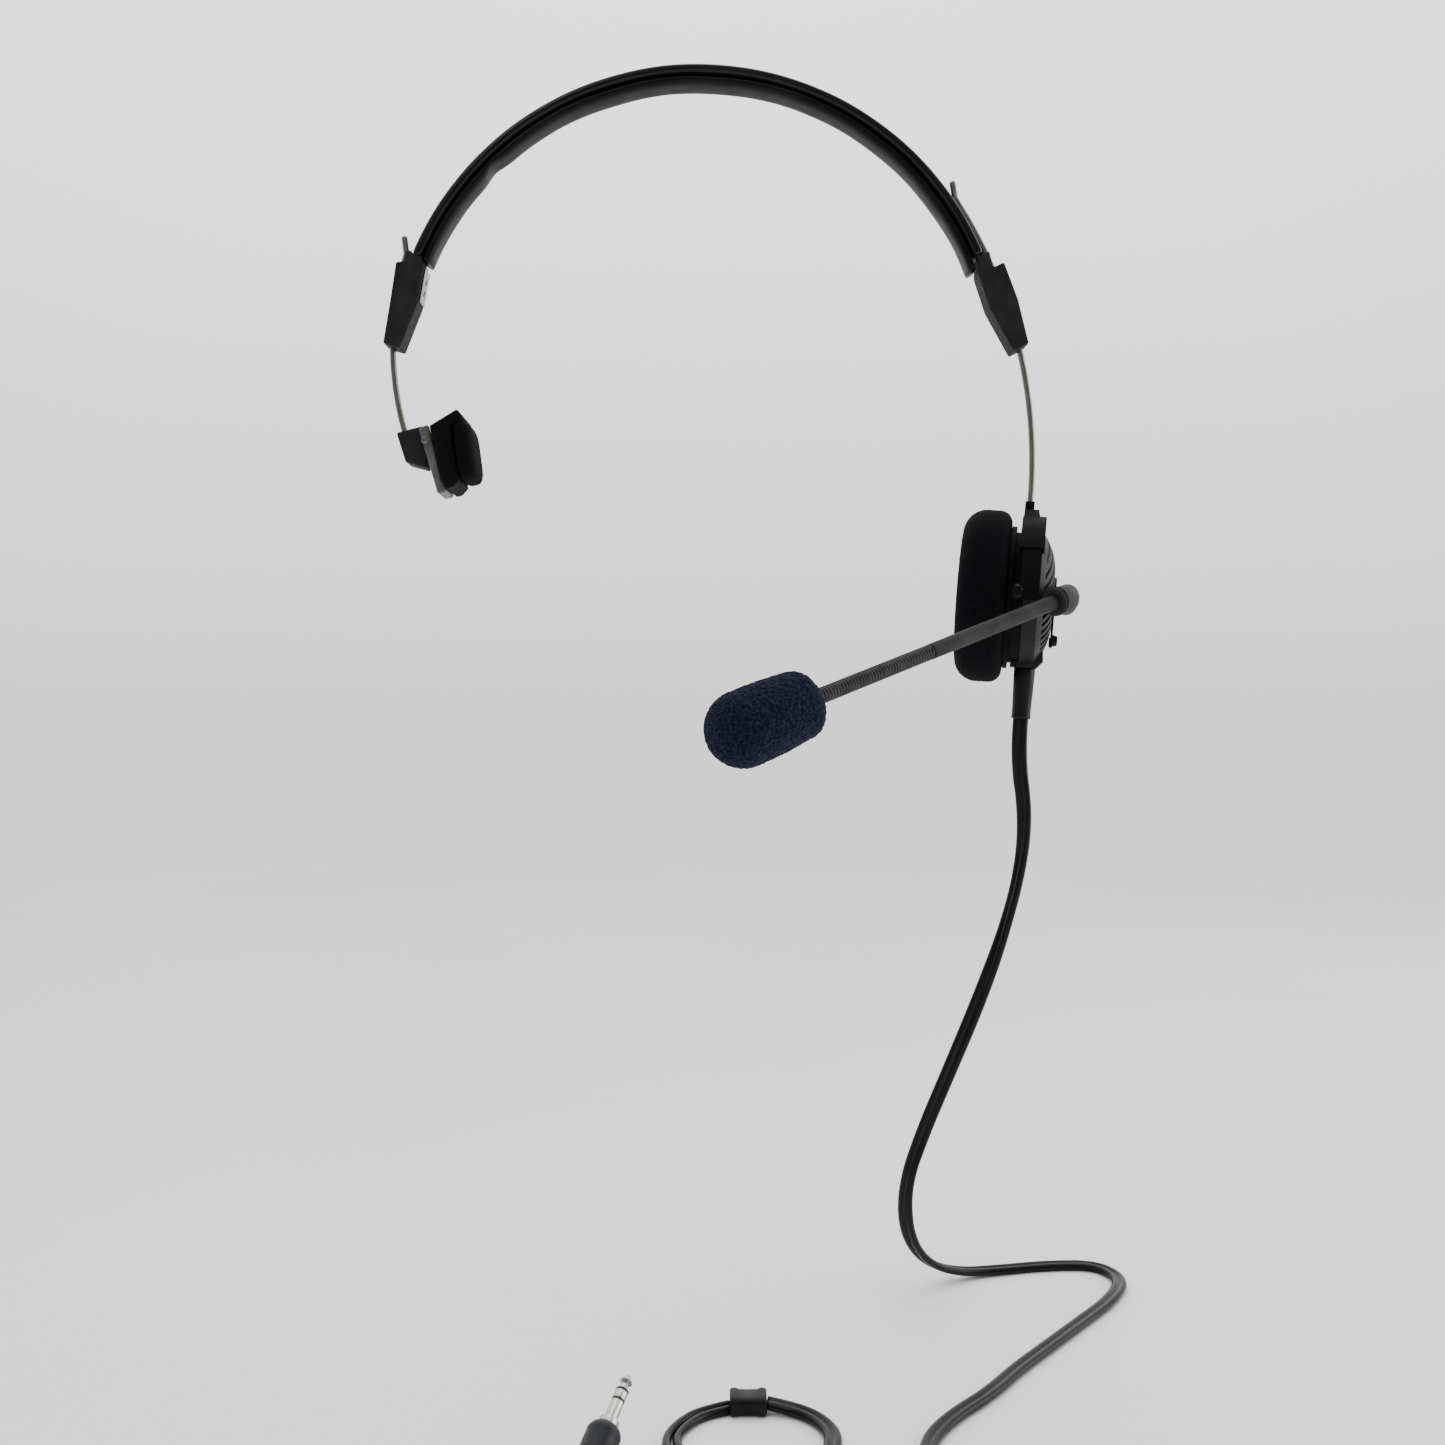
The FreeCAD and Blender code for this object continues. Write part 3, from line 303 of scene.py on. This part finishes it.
# ---------------------------------------------------------------- mesh makers
def mesh_piece(name, points, faces, material, body, slot):
    """A smooth-shaded piece that rides on a body."""
    mesh = bpy.data.meshes.new(name)
    mesh.from_pydata(points, [], faces)
    work = bmesh.new()
    work.from_mesh(mesh)
    bmesh.ops.remove_doubles(work, verts=work.verts, dist=1e-7)
    bmesh.ops.recalc_face_normals(work, faces=work.faces)
    work.to_mesh(mesh)
    work.free()
    mesh.shade_smooth()
    mesh.materials.append(M[material])
    piece = bpy.data.objects.new(name, mesh)
    bpy.context.collection.objects.link(piece)
    if body is not None:
        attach(piece, body)
    return piece


def skin(rings):
    """Points and faces of a tube through rings of points, with both ends closed."""
    count = len(rings[0])
    points = [point for ring in rings for point in ring]
    faces = []
    for row in range(len(rings) - 1):
        for column in range(count):
            beside = (column + 1) % count
            low, high = row * count, (row + 1) * count
            faces.append((low + column, low + beside, high + beside, high + column))
    faces.append(tuple(range(count))[::-1])
    faces.append(tuple(range(len(points) - count, len(points))))
    return points, faces


def lathe(profile, origin, axis, steps=64, across=None):
    """Rings of a profile of (distance along axis, radius) turned about an axis, from across on."""
    axis = axis.normalized()
    side = across if across is not None else axis.orthogonal().normalized()
    other = axis.cross(side).normalized()
    rings = []
    for distance, radius in profile:
        centre = origin + axis * distance
        ring = []
        for step in range(steps):
            turn = 2 * math.pi * step / steps
            ring.append(centre + side * (radius * math.cos(turn)) + other * (radius * math.sin(turn)))
        rings.append(ring)
    return rings


def arc_profile(centre, radius, from_degrees, to_degrees, count):
    """Profile points on an arc; degrees run from the axis's own direction towards the radius."""
    points = []
    for index in range(count + 1):
        turn = math.radians(from_degrees + (to_degrees - from_degrees) * index / count)
        points.append((centre[0] + radius * math.cos(turn), centre[1] + radius * math.sin(turn)))
    return points


def in_mm(profile):
    return [(distance * MM, radius * MM) for distance, radius in profile]


def refined(profile, step):
    """The profile with extra points, so that none are further apart than step."""
    fine = [profile[0]]
    for here, there in zip(profile, profile[1:]):
        reach = math.hypot(there[0] - here[0], there[1] - here[1])
        pieces = max(1, math.ceil(reach / step))
        for index in range(1, pieces + 1):
            share = index / pieces
            fine.append((here[0] + (there[0] - here[0]) * share, here[1] + (there[1] - here[1]) * share))
    return fine


def superellipse(half_a, half_b, power, count):
    """Points of a rounded rectangle; a higher power is squarer."""
    points = []
    for index in range(count):
        turn = 2 * math.pi * index / count
        cosine, sine = math.cos(turn), math.sin(turn)
        points.append((math.copysign(abs(cosine) ** (2 / power), cosine) * half_a,
                       math.copysign(abs(sine) ** (2 / power), sine) * half_b))
    return points


def smooth_path(corners, count):
    """Points along a Catmull-Rom curve through the corners."""
    padded = [corners[0] * 2 - corners[1]] + list(corners) + [corners[-1] * 2 - corners[-2]]
    points = []
    spans = len(corners) - 1
    for index in range(count + 1):
        place = min(index / count * spans, spans - 1e-9)
        span = int(place)
        t = place - span
        a, b, c, d = padded[span:span + 4]
        points.append(0.5 * (2 * b + (c - a) * t + (2 * a - 5 * b + 4 * c - d) * t ** 2
                             + (3 * b - a - 3 * c + d) * t ** 3))
    return points


# ---------------------------------------------------------------- cords
CORD_ROUTE = [
    (105.266, -0.397, -205.49), (104.3, -0.2, -218), (107.0, 0, -237), (105.2, 0.5, -256),
    (99.5, 1, -277), (92, 2, -298), (83, 3, -320), (74.5, 5, -341), (68.5, 8, -360),
    (69.5, 13, -378), (77, 21, -391), (90, 29, -397.5), (106, 34.5, -398.6), (124, 38.5, -398.6),
    (140.5, 38.5, -398.6), (146.0, 25, -398.6), (137, 8, -398.6), (122, -10, -398.6),
    (108, -27, -398.6), (95.5, -42, -398.6), (84, -58, -398.6), (71, -71.5, -398.6),
    (62.5, -85, -398.6), (60.5, -101, -398.6), (61.5, -116, -398.6)]
TAIL_ROUTE = [
    (10.6, -127, -397.6), (18.0, -112, -398.6), (28, -102.5, -398.6), (36, -92.5, -398.6),
    (38.3, -81, -398.6), (34, -71.5, -398.6), (27, -66.8, -398.2), (20.4, -65.3, -397.5)]
LEAD_A_ROUTE = [
    (9.9, -66.8), (3.5, -69.6), (-1.2, -75), (-4.4, -82), (-3.6, -89), (0.9, -95.8), (6.0, -102),
    (9.0, -110), (9.0, -118), (6.0, -127), (1.5, -135.5), (-5, -144.5), (-13, -151.5), (-23, -153),
    (-30.5, -147.5)]
LEAD_B_ROUTE = [
    (9.9, -63.9), (1.9, -67.4), (-3.5, -73.5), (-7.1, -81.4), (-6.9, -88.5), (-3.4, -94.5),
    (-1.2, -99.5)]
LEAD_Z = -398.7
LEAD_A_END = [(-32.0, -141.0, -398.4), (-30.13, -135.83, -396.28)]
LEAD_B_END = [(-4.5, -103.0, -398.2), (-9.80, -105.99, -395.5)]
COIL_CENTRE = (36, -142)
COIL_TURNS = 3.5
COIL_STEPS_PER_TURN = 16
COIL_RADIUS = 24.0
COIL_HALF_BAND = 2.6
COIL_LOW_Z = -398.6
COIL_HIGH_Z = -395.6
LOBE_RADIUS = 1.3 * MM
LOBE_OFFSET = 1.22 * MM
LEAD_DIAMETER = 0.0025
RELIEF_TUCK = 1.5 * MM


def coil_points():
    """Turns of the put-away cord: inwards on the floor, then outwards on top of those."""
    count = int(COIL_TURNS * COIL_STEPS_PER_TURN)
    points = []
    for index in range(count + 1):
        share = index / count
        turn = -2 * math.pi * COIL_TURNS * share
        inwards = math.cos(2 * math.pi * share)
        radius = COIL_RADIUS + COIL_HALF_BAND * inwards
        lift = min(1.0, max(0.0, (share - 0.42) / 0.16))
        settle = min(1.0, max(0.0, (share - 0.93) / 0.07))
        height = COIL_LOW_Z + (COIL_HIGH_Z - COIL_LOW_Z) * lift * (1 - 0.5 * settle)
        points.append((COIL_CENTRE[0] + radius * math.cos(turn),
                       COIL_CENTRE[1] + radius * math.sin(turn), height))
    return points


def nurbs_line(name, route):
    """A curve object with one smooth open spline whose control points are the route's."""
    curve = bpy.data.curves.new(name, "CURVE")
    curve.dimensions = "3D"
    curve.resolution_u = 12
    spline = curve.splines.new("NURBS")
    spline.points.add(len(route) - 1)
    for point, place in zip(spline.points, route):
        point.co = (*mm(*place), 1)
    spline.order_u = 3
    spline.use_endpoint_u = True
    line = bpy.data.objects.new(name, curve)
    bpy.context.collection.objects.link(line)
    return line


def points_of(line):
    """The points that a curve with no bevel runs through."""
    bpy.context.view_layer.update()
    mesh = bpy.data.meshes.new_from_object(line)
    points = [vertex.co.copy() for vertex in mesh.vertices]
    bpy.data.meshes.remove(mesh)
    return points


def twin_section():
    """The outline of a figure-of-eight cord in its own wide and thin directions."""
    outline = []
    for centre, first in ((LOBE_OFFSET, -150), (-LOBE_OFFSET, 30)):
        for index in range(11):
            turn = math.radians(first + 30 * index)
            outline.append((centre + LOBE_RADIUS * math.cos(turn), LOBE_RADIUS * math.sin(turn)))
    return outline


TWIST_DEGREES = 68
TWIST_PLACE = 0.055
TWIST_REACH = 0.034
LIES_BELOW = FLOOR_Z + 0.012
LANDING_HEIGHT = 0.05


def wide_direction(point, tangent, travelled):
    """Which way the flat cord's width points: along X where it hangs, with a slow twist below
    the earphone, and flat on the floor."""
    hanging = min(1.0, max(0.0, (point.z - LIES_BELOW) / LANDING_HEIGHT))
    twist = math.radians(TWIST_DEGREES) * math.exp(-((travelled - TWIST_PLACE) / TWIST_REACH) ** 2)
    aloft = Vector((math.cos(twist), -math.sin(twist), 0))
    flat = Vector((0, 0, 1)).cross(tangent)
    if flat.length < 0.05:
        flat = aloft
    flat.normalize()
    if flat.dot(aloft) < 0 and hanging > 0:
        flat = -flat
    target = aloft * hanging + flat * (1 - hanging)
    wide = target - tangent * target.dot(tangent)
    return wide.normalized()


def path_length(points):
    return sum((b - a).length for a, b in zip(points, points[1:]))


def twin_cord():
    """The flat twin cord from the strain relief to the cord slider, with its coil."""
    guide = nurbs_line("cord_guide", CORD_ROUTE + coil_points() + TAIL_ROUTE)
    path = points_of(guide)
    bpy.data.objects.remove(guide)
    section = twin_section()
    rings = []
    travelled = 0.0
    last_wide = None
    for index, point in enumerate(path):
        ahead = path[min(index + 1, len(path) - 1)]
        behind = path[max(index - 1, 0)]
        tangent = (ahead - behind).normalized()
        travelled += (point - behind).length if index else 0.0
        wide = wide_direction(point, tangent, travelled)
        if last_wide is not None:
            if wide.dot(last_wide) < 0:
                wide = -wide
            wide = wide * 0.35 + last_wide * 0.65
            wide = (wide - tangent * wide.dot(tangent)).normalized()
        last_wide = wide
        thin = tangent.cross(wide)
        if index == 0:
            inside = point - tangent * RELIEF_TUCK
            rings.append([inside + wide * a + thin * b for a, b in section])
        rings.append([point + wide * a + thin * b for a, b in section])
    piece = mesh_piece("cord", *skin(rings), "cord", "earphone", "cord")
    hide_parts("cord_twin", "cord_coil", "cord_tail")
    return piece, path, path_length(path)


def guide_length(route):
    """How long the smooth line of a route is."""
    guide = nurbs_line("guide", route)
    points = points_of(guide)
    bpy.data.objects.remove(guide)
    return path_length(points)


def lead(name, route):
    """One round lead from the cord slider to its plug."""
    line = nurbs_line(name, route)
    line.data.bevel_depth = LEAD_DIAMETER / 2
    line.data.bevel_resolution = 6
    line.data.use_fill_caps = True
    line.data.materials.append(M["cord"])
    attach(line, "earphone")
    return line


def slider_piece():
    """The moulded cord slider: a block with a raised rim at each end and a waist between."""
    low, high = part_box("cord_slider")
    middle = (low + high) / 2
    half_y, half_z = (high.y - low.y) / 2, (high.z - low.z) / 2
    rings = []
    length = high.x - low.x
    for share, size in ((0, 0.80), (0.02, 0.93), (0.06, 1.0), (0.16, 1.0), (0.20, 0.96), (0.24, 0.90),
                        (0.5, 0.88), (0.76, 0.90), (0.80, 0.96), (0.84, 1.0), (0.94, 1.0),
                        (0.98, 0.93), (1.0, 0.80)):
        x = low.x + length * share
        rings.append([Vector((x, middle.y + a, middle.z + b))
                      for a, b in superellipse(half_y * size, half_z * size, 4.0, 40)])
    piece = mesh_piece("cord_slider_body", *skin(rings), "rubber", "earphone", "rubber_black")
    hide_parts("cord_slider")
    return piece


def relief_piece():
    """The strain relief: a slightly tapered sleeve with a rounded lip at its lower end."""
    profile = in_mm([(22.62, 2.4), (22.62, 3.3), (22.9, 3.42), (26, 3.36), (34, 3.1), (37.6, 3.02),
                     (38.2, 3.12), (38.9, 3.12), (39.18, 2.95), (39.18, 1.6)])
    origin = ear_point(5.0, 0, 0)
    rings = lathe(profile, origin, -EAR_UP, 48, EAR_OUT)
    piece = mesh_piece("strain_relief_sleeve", *skin(rings), "rubber", "earphone", "rubber_black")
    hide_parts("strain_relief")
    return piece


relief = relief_piece()
slider = slider_piece()
cord, cord_line, cord_length = twin_cord()
for side, floor_route, end in (("a", LEAD_A_ROUTE, LEAD_A_END), ("b", LEAD_B_ROUTE, LEAD_B_END)):
    lead_route = [(x, y, LEAD_Z) for x, y in floor_route] + end
    wire = lead(f"lead_to_plug_{side}", lead_route)
    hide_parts(f"lead_{side}")
    guide_length(lead_route)


# ---------------------------------------------------------------- headband
def band_strip(name, inner, outer, width, reach, power, waves, pinch, material, node, slot):
    """A bent strip with a soft section over the degrees in reach; pinch is where it is nipped, in
    degrees from the top, by how many mm and over how many degrees."""
    steps = 260
    half_thick = (outer - inner) / 2
    rings = []
    for index in range(steps + 1):
        angle = reach[0] + (reach[1] - reach[0]) * index / steps
        turn = math.radians(angle)
        wave = waves * noise.noise(Vector((angle * 0.09, inner, 0.0)))
        squeeze = pinch[1] * math.exp(-((angle - pinch[0]) / pinch[2]) ** 2)
        end = min(index, steps - index)
        cap = (0.86, 0.97)[end] if end < 2 else 1.0
        out = Vector((math.sin(turn), 0, math.cos(turn)))
        thick = (half_thick - squeeze / 2) * cap
        middle = (inner + outer) / 2 + wave + squeeze / 2
        rings.append([BAND_CENTRE + out * ((middle + a) * MM) + Vector((0, b * MM, 0))
                      for a, b in superellipse(thick, width / 2 * (0.9 + 0.1 * cap), power, 48)])
    piece = mesh_piece(name, *skin(rings), material, "headband", slot)
    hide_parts(node)
    return piece


band_strip("band_sleeve", 96.82, 100.8, 10.0, (-67.0, 67.0), 3.0, 0.12, (0, 0, 1), "vinyl",
           "headband_sleeve", "vinyl")
inner_pad = band_strip("band_inner_pad", 93.8, 96.78, 9.8, (-67.5, 69.2), 3.0, 0.3, (-44.5, 1.1, 2.2),
                       "pad_vinyl", "headband_pad", "vinyl")


# ---------------------------------------------------------------- foams
def roughened(piece, size, depth, seed):
    """Move a piece's points along their normals so that its outline is uneven, as foam's is."""
    mesh = piece.data
    shifts = []
    for vertex in mesh.vertices:
        place = vertex.co / size + Vector((seed, 0, 0))
        distances, _ = noise.voronoi(place)
        shifts.append(vertex.normal * (depth * (min(distances[0], 0.8) - 0.45)
                                       + 0.5 * depth * noise.noise(place * 2.3)))
    for vertex, shift in zip(mesh.vertices, shifts):
        vertex.co += shift
    mesh.update()


def ear_foam():
    """The ear pad: a thick foam disc with a dished face and full, rounded edges."""
    front_edge, back_edge = 7.2, 4.0
    profile = [(-15.2, 0.05), (-15.6, 4), (-17.2, 9), (-17.9, 13)]
    profile += arc_profile((-17.8 + front_edge, 28.0 - front_edge), front_edge, 180, 90, 14)
    profile += arc_profile((-2.55 - back_edge, 27.95 - back_edge), back_edge, 90, 0, 10)
    profile += [(-2.6, 22.6), (-2.65, 12), (-2.65, 0.05)]
    rings = lathe(refined(in_mm(profile), 0.7 * MM), EAR_ORIGIN, EAR_OUT, 200)
    piece = mesh_piece("ear_pad_foam", *skin(rings), "foam", "earphone", "foam")
    roughened(piece, 1.1 * MM, 0.14 * MM, 3.0)
    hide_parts("ear_foam")


def windscreen():
    """The microphone's foam cover: longer than wide, a little slimmer towards the boom."""
    profile = [(0.9, 3.2), (0.85, 4.0)]
    profile += arc_profile((6.0, 3.9), 5.15, 170, 95, 12)
    profile += [(9.5, 9.35), (13.5, 9.7), (18, 9.82)]
    profile += arc_profile((22.3, 0.0), 9.85, 93, 1, 24)
    profile += [(32.15, 0.03)]
    rings = lathe(refined(in_mm(profile), 0.34 * MM), BOOM_END, MIC_WAY, 230)
    piece = mesh_piece("windscreen_foam", *skin(rings), "windscreen", "neck_3", "windscreen")
    roughened(piece, 1.0 * MM, 0.42 * MM, 11.0)
    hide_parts("windscreen")


def temple_cushion():
    """The temple pad's foam cushion, crowned towards the head."""
    low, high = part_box("temple_cushion")
    outer_top, outer_low = mm(-78.6, 0, -109.6), mm(-76.0, 0, -129.2)
    inner_top, inner_low = mm(-72.6, 0, -108.6), mm(-70.9, 0, -127.6)
    half_width = (high.y - low.y) / 2
    centre = (outer_top + outer_low) / 2
    face_way = ((inner_top + inner_low) / 2 - centre).normalized()
    up_way = (outer_top - outer_low).normalized()
    face_way = (face_way - up_way * face_way.dot(up_way)).normalized()
    depth = ((inner_top + inner_low) / 2 - centre).dot(face_way)
    half_height = (outer_top - outer_low).length / 2
    rings = []
    for share, size in ((0.0, 0.90), (0.04, 0.965), (0.2, 1.0), (0.4, 1.0), (0.58, 0.985), (0.72, 0.95),
                        (0.83, 0.88), (0.91, 0.76), (0.96, 0.58), (0.99, 0.34), (1.0, 0.08)):
        rings.append([centre + face_way * (depth * share) + Vector((0, a, 0)) + up_way * b
                      for a, b in superellipse(half_width * size, half_height * 0.97 * size, 4.2, 120)])
    piece = mesh_piece("temple_cushion_foam", *skin(rings), "foam", "temple_pad", "foam")
    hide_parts("temple_cushion")


ear_foam()
windscreen()
temple_cushion()


# ---------------------------------------------------------------- boom
BOOM_LENGTH = (BOOM_END - BOOM_START).length
SLEEVE_LENGTH = 0.57 * BOOM_LENGTH
SLEEVE_STEPS = 120
SLEEVE_SIDES = 40


def boom_elbow():
    """The rubbery elbow: a round seat on the hub, a thick bend and a mouth for the tube."""
    knee = ear_point(16.3, -11.2, -0.2)
    corners = [ear_point(16.2, 3.6, 0.2), ear_point(16.5, 0, 0.1), ear_point(16.3, -5.6, 0), knee,
               (knee + BOOM_START) / 2 + mm(0.5, -0.6, 0), BOOM_START]
    path = smooth_path(corners, 60)
    rings = []
    for index, point in enumerate(path):
        share = index / (len(path) - 1)
        ahead = path[min(index + 1, len(path) - 1)]
        tangent = (ahead - path[max(index - 1, 0)]).normalized()
        cap = math.sqrt(max(0.0, 1 - (1 - min(1.0, share / 0.17)) ** 2))
        flat_radius = (3.5 + 0.6 * share) * cap + 0.02
        tall_radius = (4.75 - 0.35 * share) * cap + 0.02
        up = (EAR_UP - tangent * EAR_UP.dot(tangent)).normalized()
        side = tangent.cross(up)
        rings.append([point + side * (a * MM) + up * (b * MM)
                      for a, b in superellipse(flat_radius, tall_radius, 2.1, 56)])
    points, faces = skin(rings)
    seat = lathe(in_mm([(13.08, 2.0), (13.08, 4.3), (13.3, 4.5), (13.9, 4.3), (14.8, 3.7), (15.6, 3.2)]),
                 EAR_ORIGIN, EAR_OUT, 48)
    seat_points, seat_faces = skin(seat)
    offset = len(points)
    points += seat_points
    faces += [tuple(corner + offset for corner in face) for face in seat_faces]
    piece = mesh_piece("boom_elbow_boot", points, faces, "boom_grey", "boom", "boom_grey")
    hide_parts("boom_elbow")


def boom_collar():
    """The collar round the tube at the elbow's mouth."""
    profile = in_mm([(0.02, 2.4), (0.14, 3.8)]) + in_mm(arc_profile((0.75, 3.85), 0.6, 180, 0, 14))
    profile += in_mm([(1.36, 3.2), (1.3, 2.75), (1.2, 2.4)])
    rings = lathe(profile, BOOM_START, BOOM_WAY, 64)
    piece = mesh_piece("boom_collar_ring", *skin(rings), "boom_grey", "boom", "boom_grey")
    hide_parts("boom_collar")


def boom_tube():
    """The smooth sleeve over the first part of the boom, a little uneven along its length."""
    start = 1.3 * MM
    profile = []
    for index in range(SLEEVE_STEPS + 1):
        share = index / SLEEVE_STEPS
        radius = (2.34 - 0.1 * share + 0.04 * noise.noise(Vector((share * 9, 0, 0)))) * MM
        if index in (0, SLEEVE_STEPS):
            radius *= 0.94
        profile.append((start + (SLEEVE_LENGTH - start) * share, radius))
    rings = lathe(profile, BOOM_START, BOOM_WAY, SLEEVE_SIDES)
    piece = mesh_piece("boom_sleeve", *skin(rings), "boom_grey", "boom", "boom_grey")
    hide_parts("boom_tube")


RIB_PITCH = 1.18 * MM


def neck_part(name, start, end, radius_mm):
    """A stretch of ribbed gooseneck between two distances from the boom's start."""
    count = max(2, round((end - start) / RIB_PITCH))
    pitch = (end - start) / count
    profile = []
    for rib in range(count):
        base = start + pitch * rib
        for share, rise in ((0.0, 0.0), (0.14, 0.02), (0.24, 0.22), (0.38, 0.36), (0.5, 0.40),
                            (0.62, 0.36), (0.76, 0.22), (0.86, 0.02)):
            profile.append((base + pitch * share, (radius_mm + rise) * MM))
    profile.append((end, radius_mm * MM))
    rings = lathe(profile, BOOM_START, BOOM_WAY, 36)
    return mesh_piece(name, *skin(rings), "gooseneck", None, "gooseneck")


def gooseneck():
    """Three straight ribbed parts that meet in the middle of a segment, each reaching over one joint."""
    places = [(point - BOOM_START).dot(BOOM_WAY) for point in NECK_JOINTS]
    inside_foam = BOOM_LENGTH + 1.0 * MM
    cuts = [SLEEVE_LENGTH, (places[0] + places[1]) / 2, (places[1] + places[2]) / 2, inside_foam]
    replaced = [("gooseneck_root", "gooseneck_1"), ("gooseneck_2",), ("gooseneck_3",)]
    for index in range(3):
        part = neck_part(f"gooseneck_ribs_{index + 1}", cuts[index], cuts[index + 1], 1.8)
        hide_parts(*replaced[index])
        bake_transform(part)


boom_elbow()
boom_collar()
boom_tube()
gooseneck()


# ---------------------------------------------------------------- stage
def make_stage():
    """A pale floor, a studio that is brighter behind and above the object, and three soft lamps."""
    reach = 6.0
    mesh = bpy.data.meshes.new("floor")
    mesh.from_pydata([(-reach, -reach, FLOOR_Z), (reach, -reach, FLOOR_Z), (reach, reach, FLOOR_Z),
                      (-reach, reach, FLOOR_Z)], [], [(0, 1, 2, 3)])
    floor = bpy.data.objects.new("floor", mesh)
    bpy.context.collection.objects.link(floor)
    material, tree, shader, coords = new_material("pale_floor")
    cloud = noise_node(tree, coords, 0.3, 2.0)
    tree.links.new(ramp(tree, cloud, (0.82, 0.82, 0.81), (0.86, 0.86, 0.85)), shader.inputs["Base Color"])
    shader.inputs["Roughness"].default_value = 0.6
    mesh.materials.append(material)
    world = bpy.data.worlds.new("studio")
    world.use_nodes = True
    tree = world.node_tree
    background = tree.nodes["Background"]
    background.inputs["Color"].default_value = (1.0, 0.995, 0.985, 1)
    way = tree.nodes.new("ShaderNodeTexCoord")
    parts = tree.nodes.new("ShaderNodeSeparateXYZ")
    tree.links.new(way.outputs["Generated"], parts.inputs["Vector"])
    product = tree.nodes.new("ShaderNodeMath")
    product.operation = "MULTIPLY"
    for index, (axis, start, end, dim, bright) in enumerate((("Y", -0.6, 0.9, 0.32, 1.9),
                                                             ("Z", 0.0, 1.0, 0.68, 1.8))):
        sweep = tree.nodes.new("ShaderNodeMapRange")
        sweep.inputs["From Min"].default_value = start
        sweep.inputs["From Max"].default_value = end
        sweep.inputs["To Min"].default_value = dim
        sweep.inputs["To Max"].default_value = bright
        tree.links.new(parts.outputs[axis], sweep.inputs["Value"])
        tree.links.new(sweep.outputs["Result"], product.inputs[index])
    tree.links.new(product.outputs["Value"], background.inputs["Strength"])
    bpy.context.scene.world = world
    for name, place, aim, extent, power in (
            ("key", (-0.5, -0.9, 0.9), (0, 0, -0.1), 0.5, 4.0),
            ("top", (0.1, 0.1, 1.1), (0, 0, 0), 0.8, 4.0),
            ("side", (1.05, -0.05, 0.0), (0.1, 0, -0.15), 0.8, 6.5)):
        data = bpy.data.lights.new(name, "AREA")
        data.shape = "SQUARE"
        data.size = extent
        data.energy = power
        light = bpy.data.objects.new(name, data)
        light.location = place
        aim_way = Vector(aim) - Vector(place)
        light.rotation_euler = aim_way.to_track_quat("-Z", "Y").to_euler()
        bpy.context.collection.objects.link(light)


make_stage()
